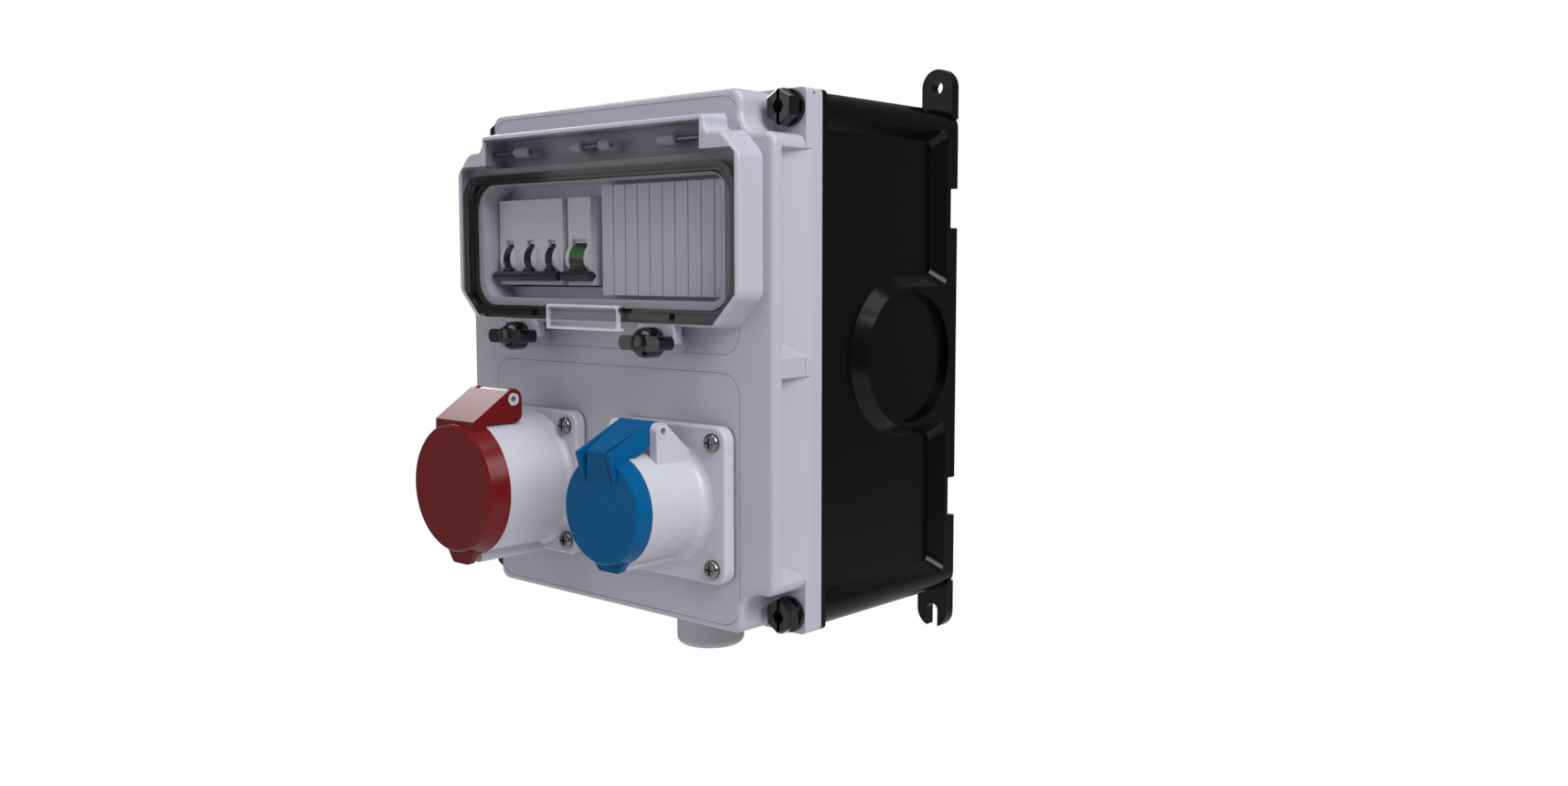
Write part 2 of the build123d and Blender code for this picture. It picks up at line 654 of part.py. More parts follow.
    # Side pockets, deepest behind the front rim and running out towards the seam
    for flank in (-1, 1):
        for top, bottom in ((POCKET_UPPER_TOP, POCKET_UPPER_BOTTOM), (POCKET_LOWER_TOP, POCKET_LOWER_BOTTOM)):
            with BuildSketch(side(flank * WIDTH / 2)):
                with BuildLine():
                    Polyline((SEAM_Y - POCKET_FRONT, top), (SEAM_Y - POCKET_BACK, top),
                             (SEAM_Y - POCKET_BACK, bottom), (SEAM_Y - POCKET_FRONT, bottom), close=True)
                make_face()
            with BuildSketch(side(flank * (WIDTH / 2 - POCKET_DEPTH))):
                with BuildLine():
                    Polyline((SEAM_Y - POCKET_FRONT, top - POCKET_END_SLOPE / 4),
                             (SEAM_Y - POCKET_FRONT + POCKET_MOUTH, top - POCKET_END_SLOPE / 4),
                             (SEAM_Y - POCKET_FRONT + POCKET_MOUTH, bottom + POCKET_END_SLOPE),
                             (SEAM_Y - POCKET_FRONT, bottom + POCKET_END_SLOPE), close=True)
                make_face()
            loft(ruled=True, mode=Mode.SUBTRACT)
    # Gasket groove, screw holes and the sealing hole
    with BuildSketch(facing(SEAM_Y)):
        add(seal_ring.sketch)
    extrude(amount=SEAL_DEPTH, mode=Mode.SUBTRACT)
    with BuildSketch(facing(SEAM_Y)):
        with Locations(*SCREW_CENTRES):
            Circle(SCREW_SHANK_R + FIT)
    extrude(amount=NOTCH_FLOOR, mode=Mode.SUBTRACT)
    with BuildSketch(side(SCREW_X)):
        with Locations((SEAM_Y - NOTCH_FLOOR / 2, HEIGHT / 2 - SEAL_INSET / 2)):
            Circle(SEALING_HOLE_R)
    extrude(amount=SCREW_EDGE, mode=Mode.SUBTRACT)
    # Knob shafts and the two socket openings with their screw holes
    with BuildSketch(facing(FACE_Y + WALL + FLANGE_BOSS_H)):
        with Locations((-KNOB_X, KNOB_Z), (KNOB_X, KNOB_Z)):
            Circle(KNOB_SHAFT_R + FIT)
        for x, mouth in ((RED_X, RED_MOUTH_R), (BLUE_X, BLUE_MOUTH_R)):
            with Locations((x, SOCKET_Z)):
                Circle(mouth + SLEEVE_WALL + GAP)
                with GridLocations(2 * FLANGE_SCREW, 2 * FLANGE_SCREW, 2, 2):
                    Circle(FLANGE_SCREW_R + FIT)
    extrude(amount=FLANGE_BOSS_H + WALL + SURROUND_REACH, mode=Mode.SUBTRACT)
front_cover.part.label = "front_cover"
export_step(front_cover.part, "parts/front_cover.step")

# Window gasket: a band with a groove along it, so that it shows as a double ring
gasket_w = 2 * (LID_HALF - GASKET_INSET)
gasket_h = GASKET_TOP - GASKET_BOTTOM
gasket_z = (GASKET_TOP + GASKET_BOTTOM) / 2
groove_inset = GASKET_BAND - GASKET_GROOVE
with BuildPart() as window_gasket:
    with BuildSketch(facing(LEDGE_Y)):
        with Locations((0, gasket_z)):
            RectangleRounded(gasket_w, gasket_h, GASKET_R)
            RectangleRounded(gasket_w - 2 * GASKET_BAND, gasket_h - 2 * GASKET_BAND, GASKET_R - GASKET_BAND,
                             mode=Mode.SUBTRACT)
    extrude(amount=GASKET_T)
    with BuildSketch(facing(LEDGE_Y - GASKET_T)):
        with Locations((0, gasket_z)):
            RectangleRounded(gasket_w - groove_inset, gasket_h - groove_inset, GASKET_R - groove_inset / 2)
            RectangleRounded(gasket_w - groove_inset - 2 * GASKET_GROOVE,
                             gasket_h - groove_inset - 2 * GASKET_GROOVE,
                             GASKET_R - groove_inset / 2 - GASKET_GROOVE, mode=Mode.SUBTRACT)
    extrude(amount=-GASKET_GROOVE, mode=Mode.SUBTRACT)
window_gasket.part.label = "window_gasket"
export_step(window_gasket.part, "parts/window_gasket.step")

# Window lid
lid_outline = window_outline(LID_HALF, LID_BOTTOM, LID_CHAMFER, LID_SHOULDER_TOP, LID_CORNER_R, LID_HUMP_HALF,
                             LID_TOP, GAP, GAP)
with BuildPart() as window_lid:
    with BuildSketch(facing(LID_Y + LID_T)):
        add(lid_outline)
    extrude(amount=LID_T)
    with BuildSketch(facing(LID_Y + LID_T)):
        with Locations((0, HINGE_Z)):
            Rectangle(3 * LID_HUMP_HALF, 2 * (HINGE_Z - LID_SHOULDER_TOP))
    extrude(amount=LID_T - LID_HINGE_T, mode=Mode.SUBTRACT)
    with BuildSketch(side(-LID_HUMP_HALF - GAP)):
        with BuildLine():
            Polyline((LID_Y, LID_TOP - HUMP_BEVEL), (LID_Y - GAP, LID_TOP + GAP), (LID_Y + HUMP_BEVEL, LID_TOP),
                     close=True)
        make_face()
    extrude(amount=2 * (LID_HUMP_HALF + GAP), mode=Mode.SUBTRACT)
    # Bevel along the back of both shoulders, which clears the surround as the lid swings up
    for start in (-LID_HALF, LID_HUMP_HALF):
        with BuildSketch(side(start)):
            with BuildLine():
                Polyline((LID_Y, LID_SHOULDER_TOP), (LID_Y + LID_T, LID_SHOULDER_TOP - LID_SHOULDER_BEVEL),
                         (LID_Y + LID_T, LID_SHOULDER_TOP + GAP), (LID_Y, LID_SHOULDER_TOP + GAP), close=True)
            make_face()
        extrude(amount=LID_HALF - LID_HUMP_HALF, mode=Mode.SUBTRACT)
    # Pane, set back into the frame with a bevel all round
    with BuildSketch(facing(LID_Y + PANE_DEPTH + PANE_T)):
        with Locations((0, OPENING_Z)):
            RectangleRounded(PANE_W, PANE_H, PANE_R)
    extrude(amount=PANE_T)
    with BuildSketch(facing(LID_Y)):
        with Locations((0, OPENING_Z)):
            RectangleRounded(PANE_W - PANE_T, PANE_H - PANE_T, PANE_R - PANE_T / 2)
    extrude(amount=-PANE_DEPTH, taper=PANE_BEVEL, mode=Mode.SUBTRACT)
    # Pads that the turned knobs press on
    with BuildSketch(facing(LID_Y)):
        with Locations((-LUG_X, LID_BOTTOM + LUG_H / 2), (LUG_X, LID_BOTTOM + LUG_H / 2)):
            Rectangle(LUG_W, LUG_H)
    extrude(amount=LUG_REACH)
    # Ears for the latch pin
    for inner in (-LATCH_HALF - GAP - LATCH_EAR_T, LATCH_HALF + GAP):
        with BuildSketch(side(inner)):
            with Locations((LATCH_AXIS_Y, LATCH_AXIS_Z)):
                Circle(LATCH_BARREL_R)
            with Locations(((LATCH_AXIS_Y + LID_Y) / 2, LATCH_AXIS_Z)):
                Rectangle(LID_Y - LATCH_AXIS_Y, 2 * LATCH_BARREL_R)
        extrude(amount=LATCH_EAR_T)
    # Knuckles behind the hump
    knuckle_spans = [(-OUTER_KNUCKLE[1], -OUTER_KNUCKLE[0]), (-MIDDLE_KNUCKLE_HALF, MIDDLE_KNUCKLE_HALF),
                     OUTER_KNUCKLE]
    for start, stop in knuckle_spans:
        with BuildSketch(side(start)):
            with Locations((HINGE_Y, HINGE_Z)):
                Circle(KNUCKLE_R)
            with Locations(((HINGE_Y + LID_Y + LID_HINGE_T) / 2, HINGE_Z)):
                Rectangle(HINGE_Y - LID_Y - LID_HINGE_T, 2 * KNUCKLE_R)
        extrude(amount=stop - start)
    for start, stop in knuckle_spans:
        with BuildSketch(side(start)):
            with Locations((HINGE_Y, HINGE_Z)):
                Circle(HINGE_PIN_R + FIT)
        extrude(amount=stop - start, mode=Mode.SUBTRACT)
    with BuildSketch(side(-LATCH_HALF - GAP - LATCH_EAR_T)):
        with Locations((LATCH_AXIS_Y, LATCH_AXIS_Z)):
            Circle(LATCH_PIN_R)
    extrude(amount=2 * (LATCH_HALF + GAP + LATCH_EAR_T), mode=Mode.SUBTRACT)
window_lid.part.label = "window_lid"
export_step(window_lid.part, "parts/window_lid.step")

# Hinge pins of the window lid, each through one lug or pair of lugs and its knuckle
with BuildPart() as window_hinge_pins:
    pin_spans = [(-OUTER_KNUCKLE[1], -OUTER_LUG[0]), (-MIDDLE_LUG_OUT, MIDDLE_LUG_OUT),
                 (OUTER_LUG[0], OUTER_KNUCKLE[1])]
    for start, stop in pin_spans:
        with BuildSketch(side(start)):
            with Locations((HINGE_Y, HINGE_Z)):
                Circle(HINGE_PIN_R)
        extrude(amount=stop - start)
window_hinge_pins.part.label = "window_hinge_pins"
export_step(window_hinge_pins.part, "parts/window_hinge_pins.step")

# Clear latch with the hook strip that grips under the surround, and its pin
with BuildPart() as window_latch:
    with BuildSketch(side(-LATCH_HALF)):
        with Locations((LATCH_AXIS_Y, LATCH_AXIS_Z)):
            Circle(LATCH_BARREL_R)
        with BuildLine():
            Polyline((LATCH_FRONT_Y, LATCH_AXIS_Z), (LATCH_FRONT_Y, LATCH_BOTTOM),
                     (LATCH_FRONT_Y + LATCH_T, LATCH_BOTTOM), (LATCH_FRONT_Y + LATCH_T, LATCH_AXIS_Z),
                     close=True)
        make_face()
    extrude(amount=2 * LATCH_HALF)
    with BuildSketch(side(-LATCH_HALF)):
        with Locations((LATCH_AXIS_Y, LATCH_AXIS_Z)):
            Circle(LATCH_PIN_R + FIT)
    extrude(amount=2 * LATCH_HALF, mode=Mode.SUBTRACT)
window_latch.part.label = "window_latch"
export_step(window_latch.part, "parts/window_latch.step")

with BuildPart() as latch_hook:
    with BuildSketch(side(-LATCH_HALF)):
        with Locations((LATCH_FRONT_Y + (LATCH_T + LATCH_HOOK_REACH) / 2, LATCH_BOTTOM + LATCH_HOOK_T / 2)):
            Rectangle(LATCH_HOOK_REACH - LATCH_T, LATCH_HOOK_T)
    extrude(amount=2 * LATCH_HALF)
latch_hook.part.label = "latch_hook"
export_step(latch_hook.part, "parts/latch_hook.step")

with BuildPart() as window_latch_pin:
    with BuildSketch(side(-LATCH_HALF - GAP - LATCH_EAR_T)):
        with Locations((LATCH_AXIS_Y, LATCH_AXIS_Z)):
            Circle(LATCH_PIN_R)
    extrude(amount=2 * (LATCH_HALF + GAP + LATCH_EAR_T))
window_latch_pin.part.label = "window_latch_pin"
export_step(window_latch_pin.part, "parts/window_latch_pin.step")

# Wing knobs and the clips that hold them behind the cover
knob_y = SURROUND_Y - RUN - GAP
clip_y = FACE_Y + WALL + GAP
for end, knob_x in (("left", -KNOB_X), ("right", KNOB_X)):
    with BuildPart() as wing_knob:
        with BuildSketch(facing(knob_y)):
            with Locations((knob_x, KNOB_Z)):
                Circle(KNOB_BODY_R)
        extrude(amount=KNOB_BODY_T)
        fillet(wing_knob.faces().sort_by(Axis.Y)[0].edges(), KNOB_DOME_R)
        with BuildSketch(facing(LID_Y - LUG_REACH - RUN)):
            with Locations((knob_x, KNOB_Z)):
                RectangleRounded(2 * WING_HALF, WING_T, WING_T / 2.2)
        extrude(amount=WING_REACH)
        with BuildSketch(facing(clip_y + CLIP_T + RUN)):
            with Locations((knob_x, KNOB_Z)):
                Circle(KNOB_SHAFT_R)
        extrude(amount=clip_y + CLIP_T + RUN - knob_y)
    wing_knob.part.label = f"wing_knob_{end}"
    export_step(wing_knob.part, f"parts/wing_knob_{end}.step")
    with BuildPart() as knob_clip:
        with BuildSketch(facing(clip_y + CLIP_T)):
            with Locations((knob_x, KNOB_Z)):
                Circle(CLIP_R)
                Circle(KNOB_SHAFT_R, mode=Mode.SUBTRACT)
        extrude(amount=CLIP_T)
    knob_clip.part.label = f"knob_clip_{end}"
    export_step(knob_clip.part, f"parts/knob_clip_{end}.step")

# Mask around the devices
slot_bottom = RAIL_Z - NOSE_H / 2 - MASK_SLOT_MARGIN
slot_top = RAIL_Z + NOSE_H / 2 + GAP
with BuildPart() as breaker_mask:
    with BuildSketch(facing(MASK_Y + MASK_T)):
        with Locations((0, OPENING_Z)):
            RectangleRounded(MASK_W, MASK_H, OPENING_R)
        with Locations(((MASK_SLOT_LEFT + MASK_SLOT_RIGHT) / 2, (slot_bottom + slot_top) / 2)):
            Rectangle(MASK_SLOT_RIGHT - MASK_SLOT_LEFT, slot_top - slot_bottom, mode=Mode.SUBTRACT)
    extrude(amount=MASK_T)
breaker_mask.part.label = "breaker_mask"
export_step(breaker_mask.part, "parts/breaker_mask.step")

# Blanking strip over the free places, grooved at every half place
with BuildPart() as blanking_strip:
    strip_w = OPENING_W / 2 - STRIP_LEFT
    strip_centre = STRIP_LEFT + strip_w / 2
    with BuildSketch(facing(MASK_Y)) as strip_outline:
        with Locations((strip_centre, OPENING_Z)):
            Rectangle(strip_w, STRIP_H)
        with Locations((0, OPENING_Z)):
            RectangleRounded(OPENING_W - 2 * GAP, OPENING_H - 2 * GAP, OPENING_R - GAP, mode=Mode.INTERSECT)
    extrude(amount=STRIP_T)
    with BuildSketch(facing(MASK_Y)):
        offset(strip_outline.sketch_local, amount=-STRIP_SKIN)
    extrude(amount=STRIP_T - STRIP_SKIN, mode=Mode.SUBTRACT)
    groove_count = int(strip_w / STRIP_PITCH)
    with BuildSketch(facing(MASK_Y - STRIP_T)):
        with Locations((strip_centre, OPENING_Z)):
            with GridLocations(STRIP_PITCH, 0, groove_count, 1):
                Rectangle(STRIP_GROOVE, STRIP_H)
    extrude(amount=-STRIP_GROOVE, mode=Mode.SUBTRACT)
blanking_strip.part.label = "blanking_strip"
export_step(blanking_strip.part, "parts/blanking_strip.step")

# Top-hat rail and its screws
hat_back = RAIL_Y + RAIL_DEPTH
with BuildPart() as din_rail:
    with BuildSketch(side(-RAIL_LENGTH / 2)):
        with Locations((RAIL_Y + RAIL_T / 2, RAIL_Z)):
            Rectangle(RAIL_T, RAIL_W)
        with Locations((RAIL_Y + RAIL_DEPTH / 2, RAIL_Z)):
            Rectangle(RAIL_DEPTH, RAIL_HAT_W)
            Rectangle(RAIL_DEPTH, RAIL_HAT_W - 2 * RAIL_T, mode=Mode.SUBTRACT)
        with Locations((hat_back - RAIL_T / 2, RAIL_Z)):
            Rectangle(RAIL_T, RAIL_HAT_W)
    extrude(amount=RAIL_LENGTH)
    with BuildSketch(facing(hat_back)):
        with Locations((-POST_X, RAIL_Z), (POST_X, RAIL_Z)):
            Circle(RAIL_SCREW_R + FIT)
    extrude(amount=RAIL_T, mode=Mode.SUBTRACT)
din_rail.part.label = "din_rail"
export_step(din_rail.part, "parts/din_rail.step")

with BuildPart() as rail_screws:
    with BuildSketch(facing(hat_back + RAIL_SCREW_L - RAIL_T)):
        with Locations((-POST_X, RAIL_Z), (POST_X, RAIL_Z)):
            Circle(RAIL_SCREW_R)
    extrude(amount=RAIL_SCREW_L)
    with BuildSketch(facing(hat_back - RAIL_T)):
        with Locations((-POST_X, RAIL_Z), (POST_X, RAIL_Z)):
            Circle(RAIL_SCREW_HEAD_R)
    extrude(amount=RAIL_SCREW_HEAD_T)
rail_screws.part.label = "rail_screws"
export_step(rail_screws.part, "parts/rail_screws.step")


def flag_outline():
    """Curved window of the status flag, on the front of the drum."""
    with BuildSketch() as flag:
        with Locations((TOGGLE_Y, TOGGLE_Z)):
            Circle(TOGGLE_DRUM_R)
            Circle(TOGGLE_DRUM_R - FLAG_T, mode=Mode.SUBTRACT)
        with Locations((TOGGLE_Y - TOGGLE_DRUM_R, FLAG_Z)):
            Rectangle(2 * TOGGLE_DRUM_R, FLAG_H, mode=Mode.INTERSECT)
    return flag.sketch


def device_body(left, poles, toggle_w):
    """Body of a rail device: nose, shoulders and the groove that clips over the rail, toggle slots open."""
    shoulder_y = NOSE_Y + NOSE_DEPTH
    centres = [left + (k + 0.5) * POLE_W for k in range(poles)]
    with BuildPart() as body:
        with BuildSketch(side(left)):
            with Locations(((NOSE_Y + shoulder_y) / 2, RAIL_Z)):
                Rectangle(NOSE_DEPTH, NOSE_H)
            with Locations(((shoulder_y + RAIL_Y + CLIP_DEPTH) / 2, RAIL_Z)):
                Rectangle(RAIL_Y + CLIP_DEPTH - shoulder_y, DEVICE_H)
            with Locations((RAIL_Y + CLIP_DEPTH / 2, RAIL_Z)):
                Rectangle(CLIP_DEPTH, RAIL_W, mode=Mode.SUBTRACT)
        extrude(amount=poles * POLE_W)
        for centre in centres:
            with BuildSketch(side(centre - toggle_w / 2 - CHEEK_W)):
                with Locations((TOGGLE_Y, TOGGLE_Z)):
                    Circle(CHEEK_R)
            extrude(amount=toggle_w + 2 * CHEEK_W)
        for centre in centres:
            with BuildSketch(side(centre - toggle_w / 2 - RUN)):
                with Locations((TOGGLE_Y, TOGGLE_Z)):
                    Circle(TOGGLE_DRUM_R + 2 * RUN)
                with Locations((NOSE_Y + TOGGLE_SLOT_DEPTH - CHEEK_R, TOGGLE_Z)):
                    Rectangle(2 * CHEEK_R, TOGGLE_SLOT_H)
            extrude(amount=toggle_w + 2 * RUN, mode=Mode.SUBTRACT)
    return body.part


def toggle(centre, width):
    """Drum and arm of one toggle, switched off."""
    angle = radians(TOGGLE_ANGLE)
    reach = TOGGLE_ARM_R - TIE_SIZE / 2
    with BuildPart() as handle:
        with BuildSketch(side(centre - width / 2)):
            with Locations((TOGGLE_Y, TOGGLE_Z)):
                Circle(TOGGLE_DRUM_R)
            with Locations((TOGGLE_Y - reach / 2 * cos(angle), TOGGLE_Z - reach / 2 * sin(angle))):
                Rectangle(reach, TIE_SIZE, rotation=TOGGLE_ANGLE)
        extrude(amount=width)
    return handle.part


def handle_bar(start, stop):
    """Bar across the ends of the arms, switched off."""
    angle = radians(TOGGLE_ANGLE)
    with BuildPart() as bar:
        with BuildSketch(side(start)):
            with Locations((TOGGLE_Y - TOGGLE_ARM_R * cos(angle), TOGGLE_Z - TOGGLE_ARM_R * sin(angle))):
                RectangleRounded(TIE_SIZE, TIE_SIZE, TIE_SIZE / 4, rotation=TOGGLE_ANGLE)
        extrude(amount=stop - start)
    return bar.part


# Three-pole breaker, its toggles and the bar that ties them
breaker = device_body(BREAKER_LEFT, 3, TOGGLE_W)
breaker.label = "breaker_body"
export_step(breaker, "parts/breaker_body.step")
toggle_solids = [toggle(BREAKER_LEFT + (k + 0.5) * POLE_W, TOGGLE_W) for k in range(3)]
with BuildPart() as breaker_toggles:
    for solid in toggle_solids:
        add(solid)
breaker_toggles.part.label = "breaker_toggles"
export_step(breaker_toggles.part, "parts/breaker_toggles.step")
tie_bar = handle_bar(BREAKER_LEFT + TIE_OVERHANG, BREAKER_LEFT + 3 * POLE_W + TIE_OVERHANG)
tie_bar.label = "toggle_tie_bar"
export_step(tie_bar, "parts/toggle_tie_bar.step")

# Single-pole device, its toggle with the wide handle and the flag let into the drum
single_centre = SINGLE_LEFT + POLE_W / 2
single_body = device_body(SINGLE_LEFT, 1, SINGLE_TOGGLE_W)
single_body.label = "single_pole_body"
export_step(single_body, "parts/single_pole_body.step")
flag_sketch = flag_outline()
single_drum = toggle(single_centre, SINGLE_TOGGLE_W)
single_bar = handle_bar(SINGLE_LEFT - SINGLE_OVERHANG, SINGLE_LEFT - SINGLE_OVERHANG + SINGLE_HANDLE_W)
with BuildPart() as single_toggle:
    add(single_drum)
    add(single_bar)
    with BuildSketch(side(single_centre - SINGLE_TOGGLE_W / 2)):
        add(flag_sketch)
    extrude(amount=SINGLE_TOGGLE_W, mode=Mode.SUBTRACT)
single_toggle.part.label = "single_pole_toggle"
export_step(single_toggle.part, "parts/single_pole_toggle.step")
with BuildPart() as status_flag:
    with BuildSketch(side(single_centre - SINGLE_TOGGLE_W / 2)):
        add(flag_sketch)
    extrude(amount=SINGLE_TOGGLE_W)
status_flag.part.label = "status_flag"
export_step(status_flag.part, "parts/status_flag.step")

# Earth and neutral bars on their holder
bar_y = BACK_Y - BAR_Y_REACH
bar_heights = (HOLDER_Z + BAR_PITCH_Z / 2, HOLDER_Z - BAR_PITCH_Z / 2)
with BuildPart() as terminal_holder:
    with BuildSketch(facing(BACK_Y)):
        with Locations((0, HOLDER_Z)):
            RectangleRounded(HOLDER_W, HOLDER_H, 2)
    extrude(amount=HOLDER_T)
    with BuildSketch(facing(BACK_Y)):
        with Locations((0, HOLDER_Z)):
            with GridLocations(HOLDER_W - HOLDER_END_W, 0, 2, 1):
                Rectangle(HOLDER_END_W, HOLDER_H)
    extrude(amount=BAR_Y_REACH + BAR_SIZE)
    with BuildSketch(facing(bar_y)):
        with Locations((0, bar_heights[0]), (0, bar_heights[1])):
            Rectangle(BAR_LENGTH, BAR_SIZE)
    extrude(amount=BAR_SIZE, mode=Mode.SUBTRACT)
terminal_holder.part.label = "terminal_holder"
export_step(terminal_holder.part, "parts/terminal_holder.step")
for bar_name, bar_z in (("earth_bar", bar_heights[0]), ("neutral_bar", bar_heights[1])):
    with BuildPart() as terminal_bar:
        with BuildSketch(facing(bar_y)):
            with Locations((0, bar_z)):
                Rectangle(BAR_LENGTH, BAR_SIZE)
        extrude(amount=BAR_SIZE)
        with BuildSketch(facing(bar_y)):
            with Locations((0, bar_z)):
                with GridLocations(BAR_SCREW_PITCH, 0, BAR_SCREWS, 1):
                    Circle(BAR_SCREW_R + FIT)
        extrude(amount=BAR_SIZE, mode=Mode.SUBTRACT)
    terminal_bar.part.label = bar_name
    export_step(terminal_bar.part, f"parts/{bar_name}.step")
with BuildPart() as terminal_screws:
    with BuildSketch(facing(bar_y - BAR_SIZE / 2)):
        with Locations((0, HOLDER_Z)):
            with GridLocations(BAR_SCREW_PITCH, BAR_PITCH_Z, BAR_SCREWS, 2):
                Circle(BAR_SCREW_R)
    extrude(amount=BAR_SIZE / 2 + BAR_SCREW_PROUD)
terminal_screws.part.label = "terminal_screws"
export_step(terminal_screws.part, "parts/terminal_screws.step")

# Cover screws, one in each corner notch
for (screw_x, screw_z), corner in zip(SCREW_CENTRES, ("top_left", "top_right", "bottom_left", "bottom_right")):
    seat_y = SEAM_Y - NOTCH_FLOOR - RUN
    head_y = seat_y - SCREW_FLANGE_T
    with BuildPart() as cover_screw:
        with BuildSketch(facing(SEAM_Y + SCREW_REACH - 1)):
            with Locations((screw_x, screw_z)):
                Circle(SCREW_SHANK_R)
        extrude(amount=SCREW_REACH - 1 + NOTCH_FLOOR + RUN)
        with BuildSketch(facing(seat_y)):
            with Locations((screw_x, screw_z)):
                Circle(SCREW_FLANGE_R)
        extrude(amount=SCREW_FLANGE_T)
        with BuildSketch(facing(head_y)):
            with Locations((screw_x, screw_z)):
                RegularPolygon(SCREW_HEAD_AF / 2, 6, major_radius=False, rotation=30)
        extrude(amount=SCREW_HEAD_H)
        chamfer(cover_screw.faces().sort_by(Axis.Y)[0].edges(), 0.8)
        with BuildSketch(facing(head_y - SCREW_HEAD_H)):
            with Locations((screw_x, screw_z)):
                RegularPolygon(SCREW_POCKET_AF / 2, 6, major_radius=False)
                Rectangle(SCREW_SLOT, 2 * SCREW_HEAD_AF)
        extrude(amount=-SCREW_HEAD_H / 2, mode=Mode.SUBTRACT)
    cover_screw.part.label = f"cover_screw_{corner}"
    export_step(cover_screw.part, f"parts/cover_screw_{corner}.step")

# Blanked gland: body, cap, sealing disc and locknut
gland_top = -HEIGHT / 2
gland_bottom = gland_top - GLAND_BODY_H
with BuildPart() as gland_body:
    with BuildSketch(Plane.XY.offset(gland_bottom)):
        with Locations((0, GLAND_Y)):
            Circle(GLAND_BODY_R)
    extrude(amount=GLAND_BODY_H)
    with BuildSketch(Plane.XY.offset(gland_bottom - GLAND_NECK_H)):
        with Locations((0, GLAND_Y)):
            Circle(GLAND_NECK_R)
    extrude(amount=GLAND_NECK_H)
    with BuildSketch(Plane.XY.offset(gland_top)):
        with Locations((0, GLAND_Y)):
            Circle(GLAND_THREAD_R)
    extrude(amount=WALL + GLAND_INSIDE)
    with BuildSketch(Plane.XY.offset(gland_bottom - GLAND_NECK_H)):
        with Locations((0, GLAND_Y)):
            Circle(GLAND_BORE_R)
    extrude(amount=GLAND_NECK_H + GLAND_BODY_H + WALL + GLAND_INSIDE, mode=Mode.SUBTRACT)
gland_body.part.label = "gland_body"
export_step(gland_body.part, "parts/gland_body.step")
with BuildPart() as gland_cap:
    with BuildSketch(Plane.XY.offset(gland_bottom - RUN - GLAND_CAP_H)):
        with Locations((0, GLAND_Y)):
            Circle(GLAND_CAP_R)
    extrude(amount=GLAND_CAP_H)
    fillet(gland_cap.faces().sort_by(Axis.Z)[0].edges(), GLAND_CAP_EDGE)
    with BuildSketch(Plane.XY.offset(gland_bottom - GLAND_NECK_H - RUN)):
        with Locations((0, GLAND_Y)):
            Circle(GLAND_NECK_R + FIT)
    extrude(amount=GLAND_NECK_H, mode=Mode.SUBTRACT)
gland_cap.part.label = "gland_cap"
export_step(gland_cap.part, "parts/gland_cap.step")
with BuildPart() as gland_disc:
    with BuildSketch(Plane.XY.offset(gland_bottom - GLAND_NECK_H)):
        with Locations((0, GLAND_Y)):
            Circle(GLAND_BORE_R)
    extrude(amount=GLAND_DISC_T)
gland_disc.part.label = "gland_disc"
export_step(gland_disc.part, "parts/gland_disc.step")
with BuildPart() as gland_locknut:
    with BuildSketch(Plane.XY.offset(gland_top + WALL)):
        with Locations((0, GLAND_Y)):
            RegularPolygon(LOCKNUT_AF / 2, 6, major_radius=False)
            Circle(GLAND_THREAD_R, mode=Mode.SUBTRACT)
    extrude(amount=LOCKNUT_T)
gland_locknut.part.label = "gland_locknut"
export_step(gland_locknut.part, "parts/gland_locknut.step")


class Socket(NamedTuple):
    """Sizes of one socket. Reach runs out from the cover's face and rise up from the socket's centre."""

    name: str
    x: float
    reach: float
    lid_front_r: float
    lid_back_r: float
    rim_depth: float
    barrel_r: float
    collar_r: float
    spigot_r: float
    mouth_r: float
    insert_r: float
    contacts: int
    contact_circle_r: float
    contact_r: float
    pin_reach: float
    pin_rise: float
    pin_half: float
    key_w: float
    key_h: float
    tab_root: float
    tab_tip: float
    tab_drop: float
    spring_in: float

    @property
    def rim_back(self):
        return self.reach - self.rim_depth

    @property
    def rim_inner_r(self):
        return self.spigot_r + RIM_SLACK

    @property
    def spigot_front(self):
        return self.reach - SOCKET_LID_T - SOCKET_SEAL_T - RUN


FLANGE_FRONT = FLANGE_GASKET_T + FLANGE_T
EAR_OUT = ARM_HALF + GAP + EAR_T
RED = Socket("red", RED_X, RED_REACH, RED_LID_FRONT_R, RED_LID_BACK_R, RED_RIM_DEPTH, RED_BARREL_R, RED_COLLAR_R,
             RED_SPIGOT_R, RED_MOUTH_R, RED_INSERT_R, RED_CONTACTS, RED_CONTACT_CIRCLE_R, RED_CONTACT_R,
             RED_PIN_REACH, RED_PIN_RISE, SHROUD_HALF + TUBE_PROUD, RED_KEY_W, RED_KEY_H, RED_TAB_ROOT,
             RED_TAB_TIP, RED_TAB_DROP, RED_SPRING_IN)
BLUE = Socket("blue", BLUE_X, BLUE_REACH, BLUE_LID_FRONT_R, BLUE_LID_BACK_R, BLUE_RIM_DEPTH, BLUE_BARREL_R,
              BLUE_COLLAR_R, BLUE_SPIGOT_R, BLUE_MOUTH_R, BLUE_INSERT_R, BLUE_CONTACTS, BLUE_CONTACT_CIRCLE_R,
              BLUE_CONTACT_R, BLUE_PIN_REACH, BLUE_PIN_RISE, EAR_OUT + TUBE_PROUD, BLUE_KEY_W, BLUE_KEY_H,
              BLUE_TAB_ROOT, BLUE_TAB_TIP, BLUE_TAB_DROP, BLUE_SPRING_IN)


def ahead(socket, reach):
    """Plane square to a socket's axis at a reach, looking out of the front."""
    return Plane(origin=(socket.x, FACE_Y - reach, SOCKET_Z), x_dir=(1, 0, 0), z_dir=(0, -1, 0))


